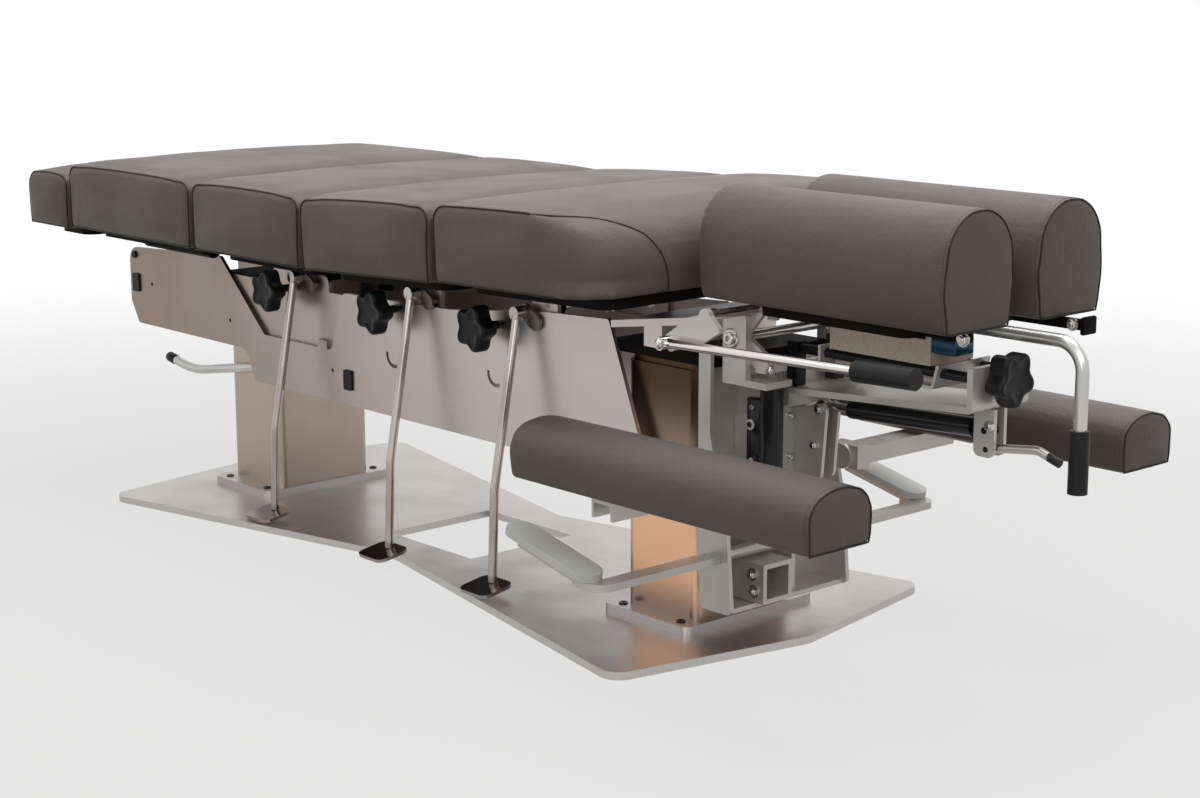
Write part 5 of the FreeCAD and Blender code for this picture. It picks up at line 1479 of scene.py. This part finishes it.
class Fittings:
    """The bolts, nuts, washers and little blocks that sit on the frame, in millimetres."""

    STEEL = ("bright_machined_steel", "bright_steel")
    BLACK = ("black_gloss_steel", "black_steel")
    BLUE = ("blue_anodised", "black_steel")
    DARK = ("dark_satin_paint", "dark_paint")
    WHITE = ("white_washer", "pedal_pad")
    SCREW = ("black_gloss_steel", "bright_steel")

    def __init__(self) -> None:
        """Set out the turned pieces, the blocks and the flange screws."""
        x, y, z = Axis
        steel, black, dark, white = self.STEEL, self.BLACK, self.DARK, self.WHITE
        rows = (
            ("top_plate_bolt", "lift_frame", (524, -62, 405.6), z, 1, socket_bolt(6.5, 5.5), steel),
            ("top_plate_bolt_far", "lift_frame", (524, 62, 405.6), z, 1, socket_bolt(6.5, 5.5), steel),
            ("tilt_pivot_bolt_near", "riser", (590, -97, 388), y, -1, socket_bolt(7.5, 6.5, 12), steel),
            ("tilt_pivot_bolt_far", "riser", (590, 97, 388), y, 1, socket_bolt(7.5, 6.5, 12), steel),
            ("hanger_nut_near", "tray", (637, -80, 354), x, 1, hex_bolt(6.0, 4.6), steel),
            ("hanger_nut_far", "tray", (637, 80, 354), x, 1, hex_bolt(6.0, 4.6), steel),
            ("crank_end_nut", "drop_lever", (570, -194.5, 390.5), y, -1, hex_bolt(6.4, 4.2, 8.0), steel),
            ("socket_upper_bolt", "lift_frame", (595.7, -61, 92.3), y, -1, hex_bolt(6.0, 5.0, 8.0), steel),
            ("socket_lower_bolt", "lift_frame", (598.6, -61, 71.5), y, -1, hex_bolt(6.0, 5.0, 8.0), steel),
            ("riser_upper_screw", "riser", (614, -18.6, 286.7), x, 1, socket_bolt(5.0, 4.5), steel),
            ("riser_lower_screw", "riser", (614, -18.6, 236.0), x, 1, socket_bolt(5.0, 4.5), steel),
            ("riser_spring_bolt", "riser", (657.3, -13.5, 301), y, -1, hex_bolt(6.5, 5.0), steel),
            ("riser_cheek_bolt", "riser", (650, -13.5, 256), y, -1, hex_bolt(5.5, 4.6), steel),
            ("spring_eye_nut", "tray", (909, -11.3, 321), y, -1, hex_bolt(6.5, 5.2), steel),
            ("near_carrier_cap", "near_headrest", (672, -112, 428), z, -1, disc(7.5, 6.0), white),
            ("far_carrier_cap", "far_headrest", (672, 112, 428), z, -1, disc(7.5, 6.0), white),
            ("block_edge_cap", "carriage", (776, -38, 416), y, -1, disc(4.0, 1.2), white),
            ("carriage_end_block", "carriage", (842.6, -37, 397), (877, -4, 417), 0.0015, self.BLUE),
            ("strut_side_plate", "lift_frame", (597, -77, 226), (619, -66, 316), 0.002, black),
            ("far_cushion_bar", "far_headrest", (868, 72, 425), (967, 80, 437.2), 0.0012, dark),
            ("far_bar_end", "far_headrest", (966.6, 66, 421), (972, 90, 441), 0.0012, dark),
            ("near_cushion_bar", "near_headrest", (868, -84, 425), (932, -76, 437.2), 0.0012, dark),
            # Painted shade: these dark boxes fill the block's two notches with the shade that lies inside
            # them.
            ("block_notch_foot", "carriage", (700, -38.6, 411), (722, -30, 420.2), 0.001, dark),
            ("block_notch_head", "carriage", (806, -38.6, 411), (836, -30, 420.2), 0.001, dark),
            ("strut_white_washer", "lift_frame", (604, -77, 283), y, -1, disc(6.5, 1.6), white),
            ("strut_washer_bolt", "lift_frame", (604, -78.4, 283), y, -1, socket_bolt(3.6, 1.6), black),
            ("strut_upper_bolt", "lift_frame", (608, -77, 305), y, -1, socket_bolt(3.6, 3.0), steel),
            ("strut_lower_bolt", "lift_frame", (608, -77, 240), y, -1, socket_bolt(3.6, 3.0), steel),
            ("far_bar_nut", "far_headrest", (953, 72, 431), y, -1, hex_bolt(6.0, 5.0, 7.5), steel),
            ("near_bar_nut", "near_headrest", (925, -84, 429), y, -1, hex_bolt(6.5, 5.0, 8.5), steel),
        )
        self.pieces = [Fitting(*row) if isinstance(row[3], Axis) else Block(*row) for row in rows]
        self.screws = [
            Fitting(f"flange_screw_{column}_{k}", "base", (middle + along, aside, 21.0), z, 1,
                    socket_bolt(6.0, 2.0), self.SCREW)
            for column, middle in (("foot", -468.5), ("head", 459.0))
            for k, (along, aside) in enumerate(((-53, -101), (-53, 101), (53, -101), (53, 101)))]

    def build(self, finishes: Finishes) -> None:
        """Build every fitting and put it on its body; the first screw stands for all flange bolts.

        Args:
            finishes: The table's finishes.
        """
        for piece in self.pieces:
            piece.build(finishes)
        for k, screw in enumerate(self.screws):
            screw.build(finishes, "" if k else "flange_bolts")


# Studio


@dataclass
class Studio:
    """Floor, world, lamps and camera."""

    camera_at: Point = (2.3501, -1.8805, 0.8289)
    yaw: float = 0.84080446
    pitch: float = 0.20270911
    roll: float = -0.00127126
    focal_px: float = 2147.0209
    image_width: int = 1200
    sensor_mm: float = 36.0
    floor_half: float = 60.0
    floor_height: float = -0.0005
    white_from: tuple[float, float] = (0.9, 3.0)
    white_share: tuple[float, float] = (0.72, 1.0)
    world_strength: float = 0.19
    lamps: tuple = (
        ("key_softbox", (-0.9, -2.4, 3.4), (0.0, 0.0, 0.3), 3.2, 40.0),
        ("top_softbox", (0.2, 0.7, 3.3), (0.0, 0.0, 0.3), 3.2, 106.0),
        ("side_softbox", (3.2, -0.8, 2.4), (0.3, 0.0, 0.3), 2.4, 26.0),
        ("front_softbox", (2.4, -2.9, 1.5), (0.5, 0.0, 0.3), 2.2, 22.0),
    )

    FLOOR = (0.22, 0.21, 0.20, 1.0)
    SOFT = (1.0, 0.985, 0.965, 1.0)
    WHITE = (1.0, 1.0, 1.0, 1.0)

    @staticmethod
    def _seen(tree: Tree) -> Socket:
        """Tell rays from the camera, a mirror or glass from all others.

        Args:
            tree: Tree that gets the nodes.

        Returns:
            1 for such a ray, 0 for any other.
        """
        path = add(tree, "LightPath", {}).outputs
        either = combined(tree, "MAXIMUM", path["Is Camera Ray"], path["Is Glossy Ray"])
        return combined(tree, "MAXIMUM", either, path["Is Transmission Ray"])

    @staticmethod
    def _show(tree: Tree, output: str, share: Socket, first: Node,
              second: Node) -> None:
        """Put a mix of two shaders on a tree's output.

        Args:
            tree: Tree of a material or a world.
            output: Type of the output node.
            share: How much of the second shader shows.
            first: Shader shown where the share is zero.
            second: Shader shown where it is one.
        """
        mix = add(tree, "MixShader", {"Fac": share, 1: first.outputs[0], 2: second.outputs[0]})
        add(tree, output, {"Surface": mix.outputs[0]})

    def floor(self) -> None:
        """Lay a pale floor that turns white for the camera but keeps the shadow."""
        edge = self.floor_half
        square = np.array([(-edge, -edge), (edge, -edge), (edge, edge), (-edge, edge)])
        points = np.column_stack([square, np.full(4, self.floor_height)])
        item = make_object("floor", points, np.array([[0, 1, 2, 3]]))
        material = bpy.data.materials.new("pale_floor")
        material.use_nodes = True
        tree = material.node_tree
        tree.nodes.clear()
        far = add(tree, "VectorMath", {0: place_on(tree)}, operation="LENGTH").outputs["Value"]
        fade = stretched(tree, far, self.white_from, self.white_share, "SMOOTHSTEP")
        self._show(tree, "OutputMaterial", combined(tree, "MULTIPLY", self._seen(tree), fade),
                   add(tree, "BsdfDiffuse", {"Color": self.FLOOR}),
                   add(tree, "Emission", {"Color": self.WHITE}))
        item.data.materials.append(material)

    def world(self) -> None:
        """Light from all round softly; camera, mirror and glass rays see plain white."""
        world = bpy.data.worlds.new("studio_world")
        bpy.context.scene.world = world
        world.use_nodes = True
        tree = world.node_tree
        tree.nodes.clear()
        self._show(tree, "OutputWorld", self._seen(tree),
                   add(tree, "Background", {"Color": self.SOFT, "Strength": self.world_strength}),
                   add(tree, "Background", {"Color": self.WHITE, "Strength": 1.0}))

    def lights(self) -> None:
        """Hang the soft lamps."""
        for name, at, towards, size, power in self.lamps:
            data = bpy.data.lights.new(name, "AREA")
            data.shape, data.size, data.energy = "DISK", size, power
            item = bpy.data.objects.new(name, data)
            item.location = at
            item.rotation_euler = (Vector(towards) - Vector(at)).to_track_quat("-Z", "Y").to_euler()
            bpy.context.scene.collection.objects.link(item)

    def camera(self) -> None:
        """Set the camera where the photograph was taken from.

        Its back points along yaw and pitch, its right is across the floor, and both turn by roll.
        """
        a, e, r = self.yaw, self.pitch, self.roll
        back = Vector((math.sin(a) * math.cos(e), -math.cos(a) * math.cos(e), math.sin(e)))
        right = (-back).cross(Vector((0.0, 0.0, 1.0))).normalized()
        up = right.cross(-back)
        x_axis = right * math.cos(r) + up * math.sin(r)
        y_axis = up * math.cos(r) - right * math.sin(r)
        data = bpy.data.cameras.new("photo_camera")
        data.sensor_width = self.sensor_mm
        data.sensor_fit = "HORIZONTAL"
        data.lens = self.focal_px * self.sensor_mm / self.image_width
        item = bpy.data.objects.new("photo_camera", data)
        matrix = Matrix((x_axis, y_axis, back)).transposed().to_4x4()
        matrix.translation = Vector(self.camera_at)
        item.matrix_world = matrix
        bpy.context.scene.collection.objects.link(item)
        bpy.context.scene.camera = item

    def build(self) -> None:
        """Set up the whole studio."""
        bpy.context.scene.view_settings.view_transform = "Standard"
        self.floor()
        self.world()
        self.lights()
        self.camera()


def main() -> None:
    """Load the frame and dress it."""
    logging.basicConfig(level=logging.INFO, format="%(message)s")
    for item in list(bpy.data.objects):
        bpy.data.objects.remove(item)
    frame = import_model()
    finishes = Finishes()
    finishes.dress_frame(frame["nodes"])
    Studio().build()
    Upholstery().build(finishes)
    Knobs().build(finishes)
    ReleaseLever().build(finishes)
    Fittings().build(finishes)


if __name__ == "__main__":
    main()
